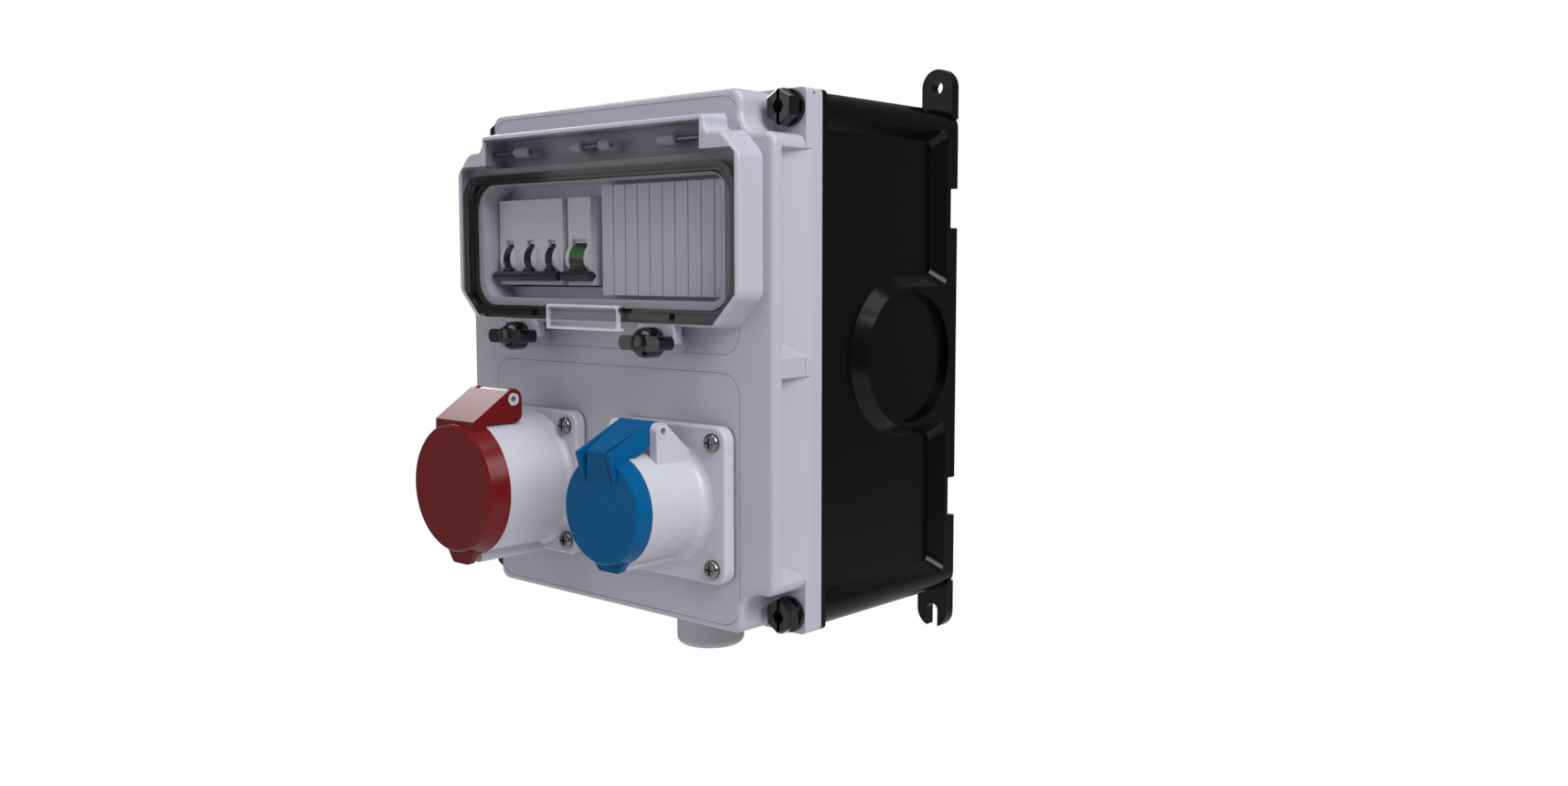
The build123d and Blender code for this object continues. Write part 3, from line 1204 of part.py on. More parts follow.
def axial(socket):
    """Plane through a socket's axis: its X is the radius and its Y the reach."""
    return Plane(origin=(socket.x, FACE_Y, SOCKET_Z), x_dir=(0, 0, 1), z_dir=(1, 0, 0))


def across(socket, offset):
    """Plane across a socket's hinge pin: its X is the reach, its Y the rise, and it looks along -X."""
    return Plane(origin=(socket.x + offset, FACE_Y, SOCKET_Z), x_dir=(0, -1, 0), z_dir=(-1, 0, 0))


def socket_axis(socket):
    return Axis((socket.x, FACE_Y, SOCKET_Z), (0, -1, 0))


def socket_shell(socket):
    """Flange, barrel, spigot and rear sleeve in one moulding, solid for now."""
    sleeve_r = socket.mouth_r + SLEEVE_WALL
    shoulder = socket.rim_back - GAP
    swell = socket.collar_r - socket.barrel_r
    with BuildPart() as shell:
        with BuildSketch(ahead(socket, FLANGE_GASKET_T)):
            RectangleRounded(FLANGE_W, FLANGE_H, FLANGE_R)
        extrude(amount=FLANGE_T)
        fillet(shell.faces().sort_by(Axis.Y)[0].edges(), FLANGE_EDGE_R)
        with BuildSketch(axial(socket)):
            with BuildLine():
                Polyline((socket.barrel_r, FLANGE_FRONT + COLLAR_H), (socket.barrel_r, shoulder),
                         (socket.spigot_r, shoulder), (socket.spigot_r, socket.spigot_front),
                         (0, socket.spigot_front), (0, -REAR_REACH), (sleeve_r, -REAR_REACH),
                         (sleeve_r, FLANGE_FRONT - FLANGE_T / 2), (socket.collar_r, FLANGE_FRONT - FLANGE_T / 2),
                         (socket.collar_r, FLANGE_FRONT))
                ThreePointArc((socket.collar_r, FLANGE_FRONT),
                              (socket.barrel_r + swell * 0.29, FLANGE_FRONT + COLLAR_H * 0.29),
                              (socket.barrel_r, FLANGE_FRONT + COLLAR_H))
            make_face()
        revolve(axis=socket_axis(socket))
        key_drop = socket.barrel_r + socket.key_h
        with BuildSketch(ahead(socket, FLANGE_FRONT - FLANGE_T / 2)):
            with Locations((0, -key_drop / 2)):
                RectangleRounded(2 * socket.key_w, key_drop, socket.key_w / 3)
        extrude(amount=shoulder - FLANGE_FRONT + FLANGE_T / 2 - GAP)
    return shell.part


def socket_bore(socket):
    """What a socket's moulding is open for: the bore, the groove for the plug's key and the screw holes."""
    with BuildPart() as bore:
        with BuildSketch(ahead(socket, -REAR_REACH)):
            Circle(socket.mouth_r)
        extrude(amount=REAR_REACH + socket.spigot_front)
        with BuildSketch(ahead(socket, socket.spigot_front)):
            with Locations((0, -(socket.mouth_r + KEY_GROOVE_DEPTH) / 2)):
                Rectangle(KEY_GROOVE_W, socket.mouth_r + KEY_GROOVE_DEPTH)
        extrude(amount=-KEY_GROOVE_L)
        with BuildSketch(ahead(socket, 0)):
            with GridLocations(2 * FLANGE_SCREW, 2 * FLANGE_SCREW, 2, 2):
                Circle(FLANGE_SCREW_R + FIT)
        extrude(amount=FLANGE_FRONT)
    return bore.part


def lid_cup(socket):
    """Disc and rim of a lid with its finger tab."""
    with BuildPart() as cup:
        with BuildSketch(axial(socket)):
            with BuildLine():
                Polyline((0, socket.reach), (socket.lid_front_r - SOCKET_LID_EDGE, socket.reach),
                         (socket.lid_front_r, socket.reach - SOCKET_LID_EDGE), (socket.lid_back_r, socket.rim_back),
                         (socket.rim_inner_r, socket.rim_back), (socket.rim_inner_r, socket.reach - SOCKET_LID_T),
                         (0, socket.reach - SOCKET_LID_T), close=True)
            make_face()
        revolve(axis=socket_axis(socket))
        root_drop = sqrt(socket.lid_front_r ** 2 - socket.tab_root ** 2)
        with BuildSketch(ahead(socket, socket.reach - TAB_SET_BACK - TAB_T)) as tab:
            with BuildLine():
                Polyline((-socket.tab_root, -root_drop), (-socket.tab_tip, -socket.tab_drop),
                         (socket.tab_tip, -socket.tab_drop), (socket.tab_root, -root_drop), close=True)
            make_face()
            fillet(tab.vertices().sort_by(Axis.Y)[:2], socket.tab_tip / 2)
            Circle(socket.rim_inner_r, mode=Mode.SUBTRACT)
        extrude(amount=TAB_T)
    return cup.part


def spring_coil(socket):
    """Close coil of the lid spring round the pin tube, left of the hinge."""
    coil_r = TUBE_R + SPRING_CLEAR + SPRING_WIRE_R
    pin = (socket.x, FACE_Y - socket.pin_reach, SOCKET_Z + socket.pin_rise)
    first = socket.spring_in + SPRING_WIRE_R
    with BuildPart() as coil:
        with BuildSketch(Plane(origin=pin, x_dir=(1, 0, 0), z_dir=(0, -1, 0))):
            with Locations(*[(-first - k * SPRING_PITCH, coil_r) for k in range(SPRING_TURNS)]):
                Circle(SPRING_WIRE_R)
        revolve(axis=Axis(pin, (1, 0, 0)))
    return coil.part


def spring_leg_x(socket):
    """Offset of the leg that leaves the last turn of a lid spring."""
    return -socket.spring_in - SPRING_WIRE_R - (SPRING_TURNS - 1) * SPRING_PITCH


def export(part, name):
    part.label = name
    export_step(part, f"parts/{name}.step")


def upper_tangent(centre, radius, corner):
    """Point where the line from a corner touches the top of a round."""
    out = corner - centre
    turn = Vector(out.Y, -out.X) * (-sqrt(out.length ** 2 - radius ** 2) / out.length ** 2 * radius)
    return centre + out * (radius ** 2 / out.length ** 2) + turn


# What both sockets have in common
for socket in (RED, BLUE):
    with BuildPart() as flange_gasket:
        with BuildSketch(ahead(socket, 0)):
            RectangleRounded(FLANGE_W - 2 * FLANGE_GASKET_INSET, FLANGE_H - 2 * FLANGE_GASKET_INSET,
                             FLANGE_R - FLANGE_GASKET_INSET)
            Circle(socket.mouth_r + SLEEVE_WALL, mode=Mode.SUBTRACT)
            with GridLocations(2 * FLANGE_SCREW, 2 * FLANGE_SCREW, 2, 2):
                Circle(FLANGE_SCREW_R + FIT, mode=Mode.SUBTRACT)
        extrude(amount=FLANGE_GASKET_T)
    export(flange_gasket.part, f"{socket.name}_flange_gasket")

    with BuildPart() as flange_screws:
        with BuildSketch(ahead(socket, FLANGE_FRONT - FLANGE_SCREW_L)):
            with GridLocations(2 * FLANGE_SCREW, 2 * FLANGE_SCREW, 2, 2):
                Circle(FLANGE_SCREW_R)
        extrude(amount=FLANGE_SCREW_L)
        with BuildSketch(ahead(socket, FLANGE_FRONT)):
            with GridLocations(2 * FLANGE_SCREW, 2 * FLANGE_SCREW, 2, 2):
                Circle(FLANGE_SCREW_HEAD_R)
        extrude(amount=FLANGE_SCREW_HEAD_T)
        fillet(flange_screws.faces().group_by(Axis.Y)[0].edges(), FLANGE_SCREW_DOME_R)
        with BuildSketch(ahead(socket, FLANGE_FRONT + FLANGE_SCREW_HEAD_T)):
            with GridLocations(2 * FLANGE_SCREW, 2 * FLANGE_SCREW, 2, 2):
                Rectangle(CROSS_L, CROSS_W)
                Rectangle(CROSS_W, CROSS_L)
        extrude(amount=-CROSS_DEPTH, mode=Mode.SUBTRACT)
    export(flange_screws.part, f"{socket.name}_flange_screws")

    insert_front = socket.spigot_front - INSERT_RECESS
    with BuildPart() as carrier_base:
        with BuildSketch(ahead(socket, -REAR_REACH)):
            Circle(socket.mouth_r - FIT)
            with PolarLocations(socket.contact_circle_r, socket.contacts, start_angle=-90):
                Circle(socket.contact_r + FIT, mode=Mode.SUBTRACT)
        extrude(amount=INSERT_BASE_T)
    export(carrier_base.part, f"{socket.name}_carrier_base")

    with BuildPart() as contact_carrier:
        with BuildSketch(ahead(socket, INSERT_BASE_T - REAR_REACH)):
            Circle(socket.insert_r)
            with PolarLocations(socket.contact_circle_r, socket.contacts, start_angle=-90):
                Circle(socket.contact_r + FIT, mode=Mode.SUBTRACT)
        extrude(amount=insert_front + REAR_REACH - INSERT_BASE_T)
    export(contact_carrier.part, f"{socket.name}_contact_carrier")

    with BuildPart() as contacts:
        with BuildSketch(ahead(socket, -REAR_REACH - CONTACT_TAIL)):
            with PolarLocations(socket.contact_circle_r, socket.contacts, start_angle=-90):
                Circle(socket.contact_r)
                Circle(socket.contact_r - CONTACT_WALL, mode=Mode.SUBTRACT)
        extrude(amount=CONTACT_TAIL + REAR_REACH + insert_front - CONTACT_RECESS)
    export(contacts.part, f"{socket.name}_contacts")

    with BuildPart() as pin_tube:
        with BuildSketch(across(socket, socket.pin_half)):
            with Locations((socket.pin_reach, socket.pin_rise)):
                Circle(TUBE_R)
                Circle(TUBE_BORE_R, mode=Mode.SUBTRACT)
        extrude(amount=2 * socket.pin_half)
    export(pin_tube.part, f"{socket.name}_hinge_tube")

    with BuildPart() as lid_seal:
        with BuildSketch(ahead(socket, socket.reach - SOCKET_LID_T)):
            Circle(socket.rim_inner_r - FIT)
            Circle(socket.rim_inner_r - FIT - SOCKET_SEAL_BAND, mode=Mode.SUBTRACT)
        extrude(amount=-SOCKET_SEAL_T)
    export(lid_seal.part, f"{socket.name}_lid_seal")

# Red socket: moulding with the hinge bar, lid with its shroud, and the spring
red_shell = socket_shell(RED)
red_bore = socket_bore(RED)
bar_right = SHROUD_HALF - SHROUD_CHEEK_T - GAP
with BuildPart() as red_socket:
    add(red_shell)
    with BuildSketch(across(RED, bar_right)):
        with Locations((RED_PIN_REACH, RED_PIN_RISE)):
            Circle(RED_HINGE_R)
        with Locations((RED_PIN_REACH, RED_PIN_RISE / 2)):
            Rectangle(2 * RED_HINGE_R, RED_PIN_RISE)
    extrude(amount=bar_right + RED_HINGE_LEFT)
    with BuildSketch(across(RED, bar_right)):
        with Locations((RED_PIN_REACH, RED_PIN_RISE)):
            Circle(TUBE_R + FIT)
    extrude(amount=bar_right + RED_HINGE_LEFT, mode=Mode.SUBTRACT)
    add(red_bore, mode=Mode.SUBTRACT)
export(red_socket.part, "red_socket_body")

shroud_front = RED_REACH - SHROUD_SET_BACK
shroud_inside = SHROUD_HALF - SHROUD_CHEEK_T
cheek_bottom = sqrt(RED_BARREL_R ** 2 - shroud_inside ** 2) + SHROUD_CLEAR
red_pin = Vector(RED_PIN_REACH, RED_PIN_RISE)
plate_front = Vector(shroud_front, SHROUD_FRONT_RISE)
plate_back = upper_tangent(red_pin, SHROUD_TOP_R, plate_front)
plate_line = (plate_front - plate_back).normalized()
under = Vector(plate_line.Y, -plate_line.X) * SHROUD_PLATE_T
inside_front = shroud_front - SHROUD_PLATE_T
inside_rise = (plate_front + under).Y - SHROUD_PLATE_T * plate_line.Y / plate_line.X
far_back = plate_back + under - plate_line * 2 * SHROUD_TOP_R
root_rise = RED_LID_FRONT_R - 2 * SOCKET_LID_T
red_cup = lid_cup(RED)
with BuildPart() as red_lid:
    with BuildSketch(across(RED, SHROUD_HALF)) as cheek:
        with BuildLine():
            Polyline((RED_PIN_REACH - SHROUD_TOP_R, RED_PIN_RISE), (RED_PIN_REACH - SHROUD_TOP_R, cheek_bottom),
                     (RED_REACH - RED_RIM_DEPTH, cheek_bottom), (RED_REACH - RED_RIM_DEPTH, root_rise),
                     (shroud_front, root_rise), (plate_front.X, plate_front.Y), (plate_back.X, plate_back.Y),
                     (RED_PIN_REACH, RED_PIN_RISE), close=True)
        make_face()
        heel = cheek.vertices().filter_by(lambda v: abs(v.X - RED_PIN_REACH + SHROUD_TOP_R) < FIT)
        fillet(heel.sort_by(Axis.Y)[0], SHROUD_CORNER_R)
        with Locations((RED_PIN_REACH, RED_PIN_RISE)):
            Circle(SHROUD_TOP_R)
    extrude(amount=2 * SHROUD_HALF)
    with BuildSketch(across(RED, shroud_inside)):
        with BuildLine():
            Polyline((far_back.X, far_back.Y), (inside_front, inside_rise), (inside_front, root_rise - RUN),
                     (far_back.X, root_rise - RUN), close=True)
        make_face()
        with Locations((RED_PIN_REACH, RED_PIN_RISE)):
            Circle(RED_HINGE_R + GAP)
    extrude(amount=2 * shroud_inside, mode=Mode.SUBTRACT)
    with BuildSketch(across(RED, SHROUD_HALF)):
        with Locations((RED_PIN_REACH, RED_PIN_RISE)):
            Circle(TUBE_R + FIT)
    extrude(amount=2 * SHROUD_HALF, mode=Mode.SUBTRACT)
    with BuildSketch(ahead(RED, RED.rim_back - GAP)):
        Circle(RED.rim_inner_r)
    extrude(amount=RED_REACH - SOCKET_LID_T - RED.rim_back + GAP, mode=Mode.SUBTRACT)
    add(red_cup)
export(red_lid.part, "red_lid")

red_coil = spring_coil(RED)
coil_r = TUBE_R + SPRING_CLEAR + SPRING_WIRE_R
with BuildPart() as red_spring:
    add(red_coil)
    with BuildSketch(ahead(RED, RED_PIN_REACH - SPRING_CLEAR)):
        with Locations((spring_leg_x(RED), RED_PIN_RISE - coil_r)):
            Circle(SPRING_WIRE_R * 0.9)
    extrude(amount=2 * RED_HINGE_R)
export(red_spring.part, "red_lid_spring")

# Blue socket: moulding with the two ears, lid with its arm, and the spring
blue_shell = socket_shell(BLUE)
blue_bore = socket_bore(BLUE)
blue_pin = Vector(BLUE_PIN_REACH, BLUE_PIN_RISE)
with BuildPart() as blue_socket:
    add(blue_shell)
    for right in (EAR_OUT, -ARM_HALF - GAP):
        with BuildSketch(across(BLUE, right)):
            with BuildLine():
                Polyline((BLUE_PIN_REACH + EAR_R, BLUE_PIN_RISE), (BLUE_PIN_REACH + EAR_R, EAR_ROOT),
                         (GUSSET_REACH, EAR_ROOT), (GUSSET_REACH, GUSSET_RISE),
                         (BLUE_PIN_REACH - EAR_R * 0.7, BLUE_PIN_RISE + EAR_R * 0.7), close=True)
            make_face()
            with Locations((BLUE_PIN_REACH, BLUE_PIN_RISE)):
                Circle(EAR_R)
        extrude(amount=EAR_T)
    with BuildSketch(across(BLUE, EAR_OUT)):
        with Locations((BLUE_PIN_REACH, BLUE_PIN_RISE)):
            Circle(TUBE_R + FIT)
    extrude(amount=2 * EAR_OUT, mode=Mode.SUBTRACT)
    add(blue_bore, mode=Mode.SUBTRACT)
export(blue_socket.part, "blue_socket_body")

arm_front = Vector(BLUE_REACH + ARM_PROUD, ARM_FRONT_RISE)
arm_back = upper_tangent(blue_pin, ARM_HINGE_R, arm_front)
tongue_front = arm_front.X - ARM_TONGUE_SET
tongue_top = arm_front.Y + 2 * ARM_PROUD
arm_line = (arm_front - arm_back).normalized()
groove_plane = Plane(origin=(BLUE_X, FACE_Y - arm_front.X, SOCKET_Z + arm_front.Y), x_dir=(1, 0, 0),
                     z_dir=(0, arm_line.Y, arm_line.X))
groove_length = (arm_front - arm_back).length
blue_cup = lid_cup(BLUE)
with BuildPart() as blue_lid:
    with BuildSketch(across(BLUE, ARM_HALF)):
        with BuildLine():
            Polyline((BLUE_PIN_REACH - ARM_HINGE_R, BLUE_PIN_RISE), (BLUE_PIN_REACH, ARM_UNDER_BACK),
                     (BLUE.rim_back, ARM_UNDER_FRONT), (BLUE.rim_back, EAR_ROOT),
                     (BLUE_REACH - SOCKET_LID_T / 2, ARM_FOOT_RISE), (BLUE_REACH, ARM_FOOT_RISE),
                     (arm_front.X, arm_front.Y), (arm_back.X, arm_back.Y), (BLUE_PIN_REACH, BLUE_PIN_RISE),
                     close=True)
        make_face()
        with Locations((BLUE_PIN_REACH, BLUE_PIN_RISE)):
            Circle(ARM_HINGE_R)
    extrude(amount=2 * ARM_HALF)
    # Grooves beside the tongue, along the top of the arm and down its front
    for flank in (-1, 1):
        with BuildSketch(groove_plane):
            with BuildLine():
                Polyline((flank * ARM_TONGUE_TOP, -ARM_PROUD), (flank * (ARM_HALF - ARM_RAIL_W), -ARM_PROUD),
                         (flank * (ARM_HALF - ARM_RAIL_W), groove_length * 0.9), close=True)
            make_face()
        extrude(amount=-ARM_GROOVE_DEPTH, mode=Mode.SUBTRACT)
        with BuildSketch(ahead(BLUE, BLUE_REACH)):
            with BuildLine():
                Polyline((flank * ARM_TONGUE_TOP, ARM_FRONT_RISE + ARM_PROUD),
                         (flank * ARM_TONGUE_FOOT, ARM_FOOT_RISE),
                         (flank * (ARM_HALF - ARM_RAIL_W), ARM_FRONT_RISE + ARM_PROUD), close=True)
            make_face()
        extrude(amount=2 * ARM_PROUD, mode=Mode.SUBTRACT)
    # Front of the tongue, set back between the two rails, and the underside round the barrel
    with BuildSketch(across(BLUE, ARM_HALF - ARM_RAIL_W)):
        with BuildLine():
            Polyline((BLUE_REACH, ARM_FOOT_RISE), (tongue_front, ARM_FRONT_RISE), (tongue_front, tongue_top),
                     (arm_front.X + ARM_PROUD, tongue_top), (arm_front.X + ARM_PROUD, ARM_FOOT_RISE),
                     close=True)
        make_face()
    extrude(amount=2 * (ARM_HALF - ARM_RAIL_W), mode=Mode.SUBTRACT)
    with BuildSketch(ahead(BLUE, 0)):
        Circle(BLUE_BARREL_R + ARM_CLEAR)
    extrude(amount=BLUE.rim_back, mode=Mode.SUBTRACT)
    with BuildSketch(across(BLUE, ARM_HALF)):
        with Locations((BLUE_PIN_REACH, BLUE_PIN_RISE)):
            Circle(TUBE_R + FIT)
    extrude(amount=2 * ARM_HALF, mode=Mode.SUBTRACT)
    with BuildSketch(across(BLUE, -BLUE_SPRING_IN)):
        with Locations((BLUE_PIN_REACH, BLUE_PIN_RISE)):
            Circle(coil_r + SPRING_WIRE_R + SPRING_CLEAR / 2)
        with Locations((BLUE_PIN_REACH, BLUE_PIN_RISE - ARM_HINGE_R)):
            Rectangle(2 * coil_r + 2 * SPRING_WIRE_R + SPRING_CLEAR, 2 * ARM_HINGE_R)
    extrude(amount=ARM_HALF - BLUE_SPRING_IN, mode=Mode.SUBTRACT)
    with BuildSketch(ahead(BLUE, BLUE.rim_back - GAP)):
        Circle(BLUE.rim_inner_r)
    extrude(amount=BLUE_REACH - SOCKET_LID_T - BLUE.rim_back + GAP, mode=Mode.SUBTRACT)
    add(blue_cup)
export(blue_lid.part, "blue_lid")

blue_coil = spring_coil(BLUE)
with BuildPart() as blue_spring:
    add(blue_coil)
    with BuildSketch(Plane.XY.offset(SOCKET_Z + BLUE_PIN_RISE + SPRING_CLEAR)):
        with Locations((BLUE_X + spring_leg_x(BLUE), FACE_Y - BLUE_PIN_REACH - coil_r)):
            Circle(SPRING_WIRE_R * 0.9)
    extrude(amount=-ARM_HINGE_R)
export(blue_spring.part, "blue_lid_spring")
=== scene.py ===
"""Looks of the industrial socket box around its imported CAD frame. Lengths are in metres."""

import json
import math

import bpy
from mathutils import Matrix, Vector


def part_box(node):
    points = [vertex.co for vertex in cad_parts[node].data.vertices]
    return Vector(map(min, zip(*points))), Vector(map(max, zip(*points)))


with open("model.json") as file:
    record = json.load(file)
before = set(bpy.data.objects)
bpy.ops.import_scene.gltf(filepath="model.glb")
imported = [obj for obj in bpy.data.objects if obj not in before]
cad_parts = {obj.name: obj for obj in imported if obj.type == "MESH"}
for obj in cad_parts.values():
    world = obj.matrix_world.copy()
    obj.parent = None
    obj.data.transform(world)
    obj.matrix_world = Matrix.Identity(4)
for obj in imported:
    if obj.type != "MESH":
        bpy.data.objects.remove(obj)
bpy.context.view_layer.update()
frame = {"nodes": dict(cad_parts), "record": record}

# Camera, as found from the photograph
IMAGE_W = 1716
FOCAL_PX = 1486.17
SENSOR = 36.0
CLIP_START = 0.01
CAMERA_AT = (0.51985, -0.60129, 0.04542)
CAMERA_AZIMUTH = 41.30
CAMERA_DOWN = 5.28

# World and floor
WHITE = (1, 1, 1, 1)
WORLD_TINT = (0.96, 0.97, 1.0, 1)
WORLD_GREY = 0.18
FLOOR_GREY = (0.8, 0.8, 0.8, 1)
FLOOR_Z = -0.62
FLOOR_HALF = 6.0

# Soft lamps: name, place, the point it is turned to, width, height and power
BOX_MIDDLE = (0, -0.1, 0)
RED_LID_TOP = (-0.055, -0.19, -0.025)
LAMPS = [
    ("key", (1.6, -0.5, 1.1), BOX_MIDDLE, 1.2, 1.2, 34),
    ("top", (0.2, -0.5, 1.8), BOX_MIDDLE, 1.6, 1.0, 13),
    ("fill", (-0.9, -1.8, 0.3), BOX_MIDDLE, 1.6, 1.6, 7),
    ("rim", (-1.156, 0.27, 0.61), RED_LID_TOP, 0.55, 0.55, 6),
]

# Middle part of a noise, over which tone and gloss change
NOISE_LOW = 0.2
NOISE_HIGH = 0.8

# Thin lines of painted groove shade that outline the two panels of the cover's face, each with its middle
# height and half height.
# The red socket's flange gasket lies on that face.
FACE_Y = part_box("red_flange_gasket")[1].y
FACE_NEAR = 0.0002
PANEL_HALF_X = 0.0912
PANEL_R = 0.011
PANELS = [(0.0643, 0.0595), (-0.0638, 0.0600)]
GROOVE_HALF = 0.00026
GROOVE_SHADE = 0.45

# Plate of the latch, on the front, and the band inside its edge where it turns from clear to a painted bright
# highlight
LATCH_HALF_X = 0.0270
LATCH_Z = 0.0208
LATCH_HALF_Z = 0.0062
LATCH_R = 0.003
LATCH_HIGHLIGHT_BAND = (-0.0014, -0.0008)
LATCH_HIGHLIGHT_ALPHA = (0.10, 0.60)

# Outer edge of the dark bands of painted shade round the pane of the window lid, where its rim steps, on its
# front, and the band that they take up.
# Each band of painted shade has its place in the band, from the pane outwards, and how much it hides.
RING_HALF_X = 0.1004
RING_HALF_Z = 0.0367
RING_Z = 0.05735
RING_R = 0.012
RING_BAND = (-0.010, 0.002)
RING_PAINTED_SHADE = [
    (0.0, 0.06), (0.42, 0.07), (0.44, 0.97), (0.50, 0.95), (0.54, 0.60),
    (0.60, 0.60), (0.64, 0.90), (0.80, 0.84), (0.86, 0.20), (1.0, 0.20),
]


def rgb(red, green, blue):
    """Linear colour from sRGB values of 0 to 255."""
    linear = []
    for value in (red, green, blue):
        value /= 255
        linear.append(value / 12.92 if value <= 0.04045 else ((value + 0.055) / 1.055) ** 2.4)
    return (*linear, 1.0)


def shaded(colour, factor):
    """A darker or lighter tone of a colour."""
    return (*[min(1.0, channel * factor) for channel in colour[:3]], 1.0)


def feed(node, inputs):
    """Gives a node's inputs, by name or number, their fixed values and links."""
    for socket, value in inputs.items():
        if isinstance(value, bpy.types.NodeSocket):
            node.id_data.links.new(value, node.inputs[socket])
        else:
            node.inputs[socket].default_value = value


def add_node(tree, kind, inputs):
    """A new node of a kind, with its inputs fed."""
    node = tree.nodes.new("ShaderNode" + kind)
    feed(node, inputs)
    return node


def new_material(name):
    """A new material, its node tree and its main shader."""
    material = bpy.data.materials.new(name)
    material.use_nodes = True
    return material, material.node_tree, material.node_tree.nodes["Principled BSDF"]


def object_place(tree):
    """The object's own coordinates, which stay on it as it moves."""
    return add_node(tree, "TexCoord", {}).outputs["Object"]


def noise(tree, scale, detail, stretch=None):
    """Noise fixed to the object, of that many features per metre."""
    place = object_place(tree)
    if stretch:
        place = add_node(tree, "Mapping", {"Vector": place, "Scale": stretch}).outputs["Vector"]
    texture = add_node(tree, "TexNoise", {"Vector": place, "Scale": scale, "Detail": detail})
    return texture.outputs["Fac"]


def colour_ramp(tree, factor, stops):
    """Colour that runs through stops of place and colour with a factor."""
    ramp = add_node(tree, "ValToRGB", {"Fac": factor})
    elements = ramp.color_ramp.elements
    for element, (place, colour) in zip(elements, (stops[0], stops[-1])):
        element.position = place
        element.color = colour
    for place, colour in stops[1:-1]:
        elements.new(place).color = colour
    return ramp.outputs["Color"]


def value_ramp(tree, value, start, end, low, high):
    """Number that runs from low to high as a value goes from start to end."""
    ramp = add_node(tree, "MapRange", {
        "Value": value, "From Min": start, "From Max": end, "To Min": low, "To Max": high,
    })
    return ramp.outputs["Result"]


def uneven_colour(tree, pattern, colour, low, high):
    """A colour whose tone goes with a noise, from its low share to its high one."""
    return colour_ramp(tree, pattern, [(NOISE_LOW, shaded(colour, low)), (NOISE_HIGH, shaded(colour, high))])


def uneven_value(tree, pattern, value, low, high):
    """A number that goes with a noise, from its low share to its high one."""
    return value_ramp(tree, pattern, NOISE_LOW, NOISE_HIGH, value * low, value * high)


def bump(tree, height, strength, distance):
    relief = add_node(tree, "Bump", {"Height": height, "Strength": strength, "Distance": distance})
    return relief.outputs["Normal"]


def math_node(tree, operation, *values):
    node = add_node(tree, "Math", dict(enumerate(values)))
    node.operation = operation
    return node.outputs["Value"]


def split_place(tree):
    """The object's own coordinates, one by one."""
    return add_node(tree, "SeparateXYZ", {"Vector": object_place(tree)}).outputs


def front_distance(tree, half_x, middle_z, half_z, radius):
    """Distance outside a rounded rectangle of the front, negative inside."""
    axes = split_place(tree)
    squares = []
    for axis, middle, half in (("X", 0.0, half_x), ("Z", middle_z, half_z)):
        from_middle = math_node(tree, "ABSOLUTE", math_node(tree, "SUBTRACT", axes[axis], middle))
        past_straight = math_node(tree, "SUBTRACT", from_middle, half - radius)
        outside = math_node(tree, "MAXIMUM", past_straight, 0.0)
        squares.append(math_node(tree, "MULTIPLY", outside, outside))
    length = math_node(tree, "SQRT", math_node(tree, "ADD", *squares))
    return math_node(tree, "SUBTRACT", length, radius)


def painted_groove_shade(tree):
    """1 along the lines of the cover's face where the panel grooves' shade is painted, 0 elsewhere."""
    from_face = math_node(tree, "ABSOLUTE", math_node(tree, "SUBTRACT", split_place(tree)["Y"], FACE_Y))
    on_face = math_node(tree, "LESS_THAN", from_face, FACE_NEAR)
    groove_shade_lines = []
    for middle_z, half_z in PANELS:
        from_line = math_node(tree, "ABSOLUTE", front_distance(tree, PANEL_HALF_X, middle_z, half_z, PANEL_R))
        groove_shade_lines.append(math_node(tree, "LESS_THAN", from_line, GROOVE_HALF))
    return math_node(tree, "MULTIPLY", math_node(tree, "MAXIMUM", *groove_shade_lines), on_face)


def moulded(name, colour, roughness, grain=0.15, grain_scale=1800, gloss=0.5, coat=0.0):
    """Injection-moulded plastic: a fine grain, slow changes of tone and of gloss."""
    material, tree, shader = new_material(name)
    slow = noise(tree, scale=14, detail=2.0)
    fine = noise(tree, scale=grain_scale, detail=2.0)
    feed(shader, {
        "Base Color": uneven_colour(tree, slow, colour, low=0.96, high=1.04),
        "Roughness": uneven_value(tree, slow, roughness, low=0.9, high=1.1),
        "Normal": bump(tree, fine, strength=grain, distance=0.0001),
        "Specular IOR Level": gloss,
        "Coat Weight": coat,
        "Coat Roughness": 0.06,
    })
    return material


def cover_plastic(name, colour, roughness, grain):
    """The cover's moulded plastic, with the shade of the panel grooves painted as dark lines in its face."""
    material = moulded(name, colour, roughness, grain)
    tree = material.node_tree
    shader = tree.nodes["Principled BSDF"]
    plain = shader.inputs["Base Color"].links[0].from_socket
    # Painted shade: the colour is darkened along the panel lines, standing in for the shade in the grooves.
    painted_shade = math_node(tree, "MULTIPLY", painted_groove_shade(tree), GROOVE_SHADE)
    shade = tree.nodes.new("ShaderNodeVectorMath")
    shade.operation = "SCALE"
    feed(shade, {0: plain, "Scale": math_node(tree, "SUBTRACT", 1.0, painted_shade)})
    feed(shader, {"Base Color": shade.outputs["Vector"]})
    return material


def rubber(name, colour):
    """Matt rubber with an uneven skin."""
    material, tree, shader = new_material(name)
    fine = noise(tree, scale=2500, detail=4.0)
    feed(shader, {
        "Base Color": uneven_colour(tree, fine, colour, low=0.8, high=1.3),
        "Roughness": 0.55,
        "Normal": bump(tree, fine, strength=0.2, distance=0.0001),
    })
    return material


def metal(name, colour, roughness, brushed):
    """Plated metal, with fine marks stretched along one direction."""
    material, tree, shader = new_material(name)
    marks = noise(tree, scale=900, detail=4.0, stretch=(1.0, 12.0, 1.0))
    feed(shader, {
        "Base Color": uneven_colour(tree, marks, colour, low=0.9, high=1.08),
        "Roughness": uneven_value(tree, marks, roughness, low=0.8, high=1.3),
        "Normal": bump(tree, marks, strength=brushed, distance=0.00005),
        "Metallic": 1.0,
    })
    return material


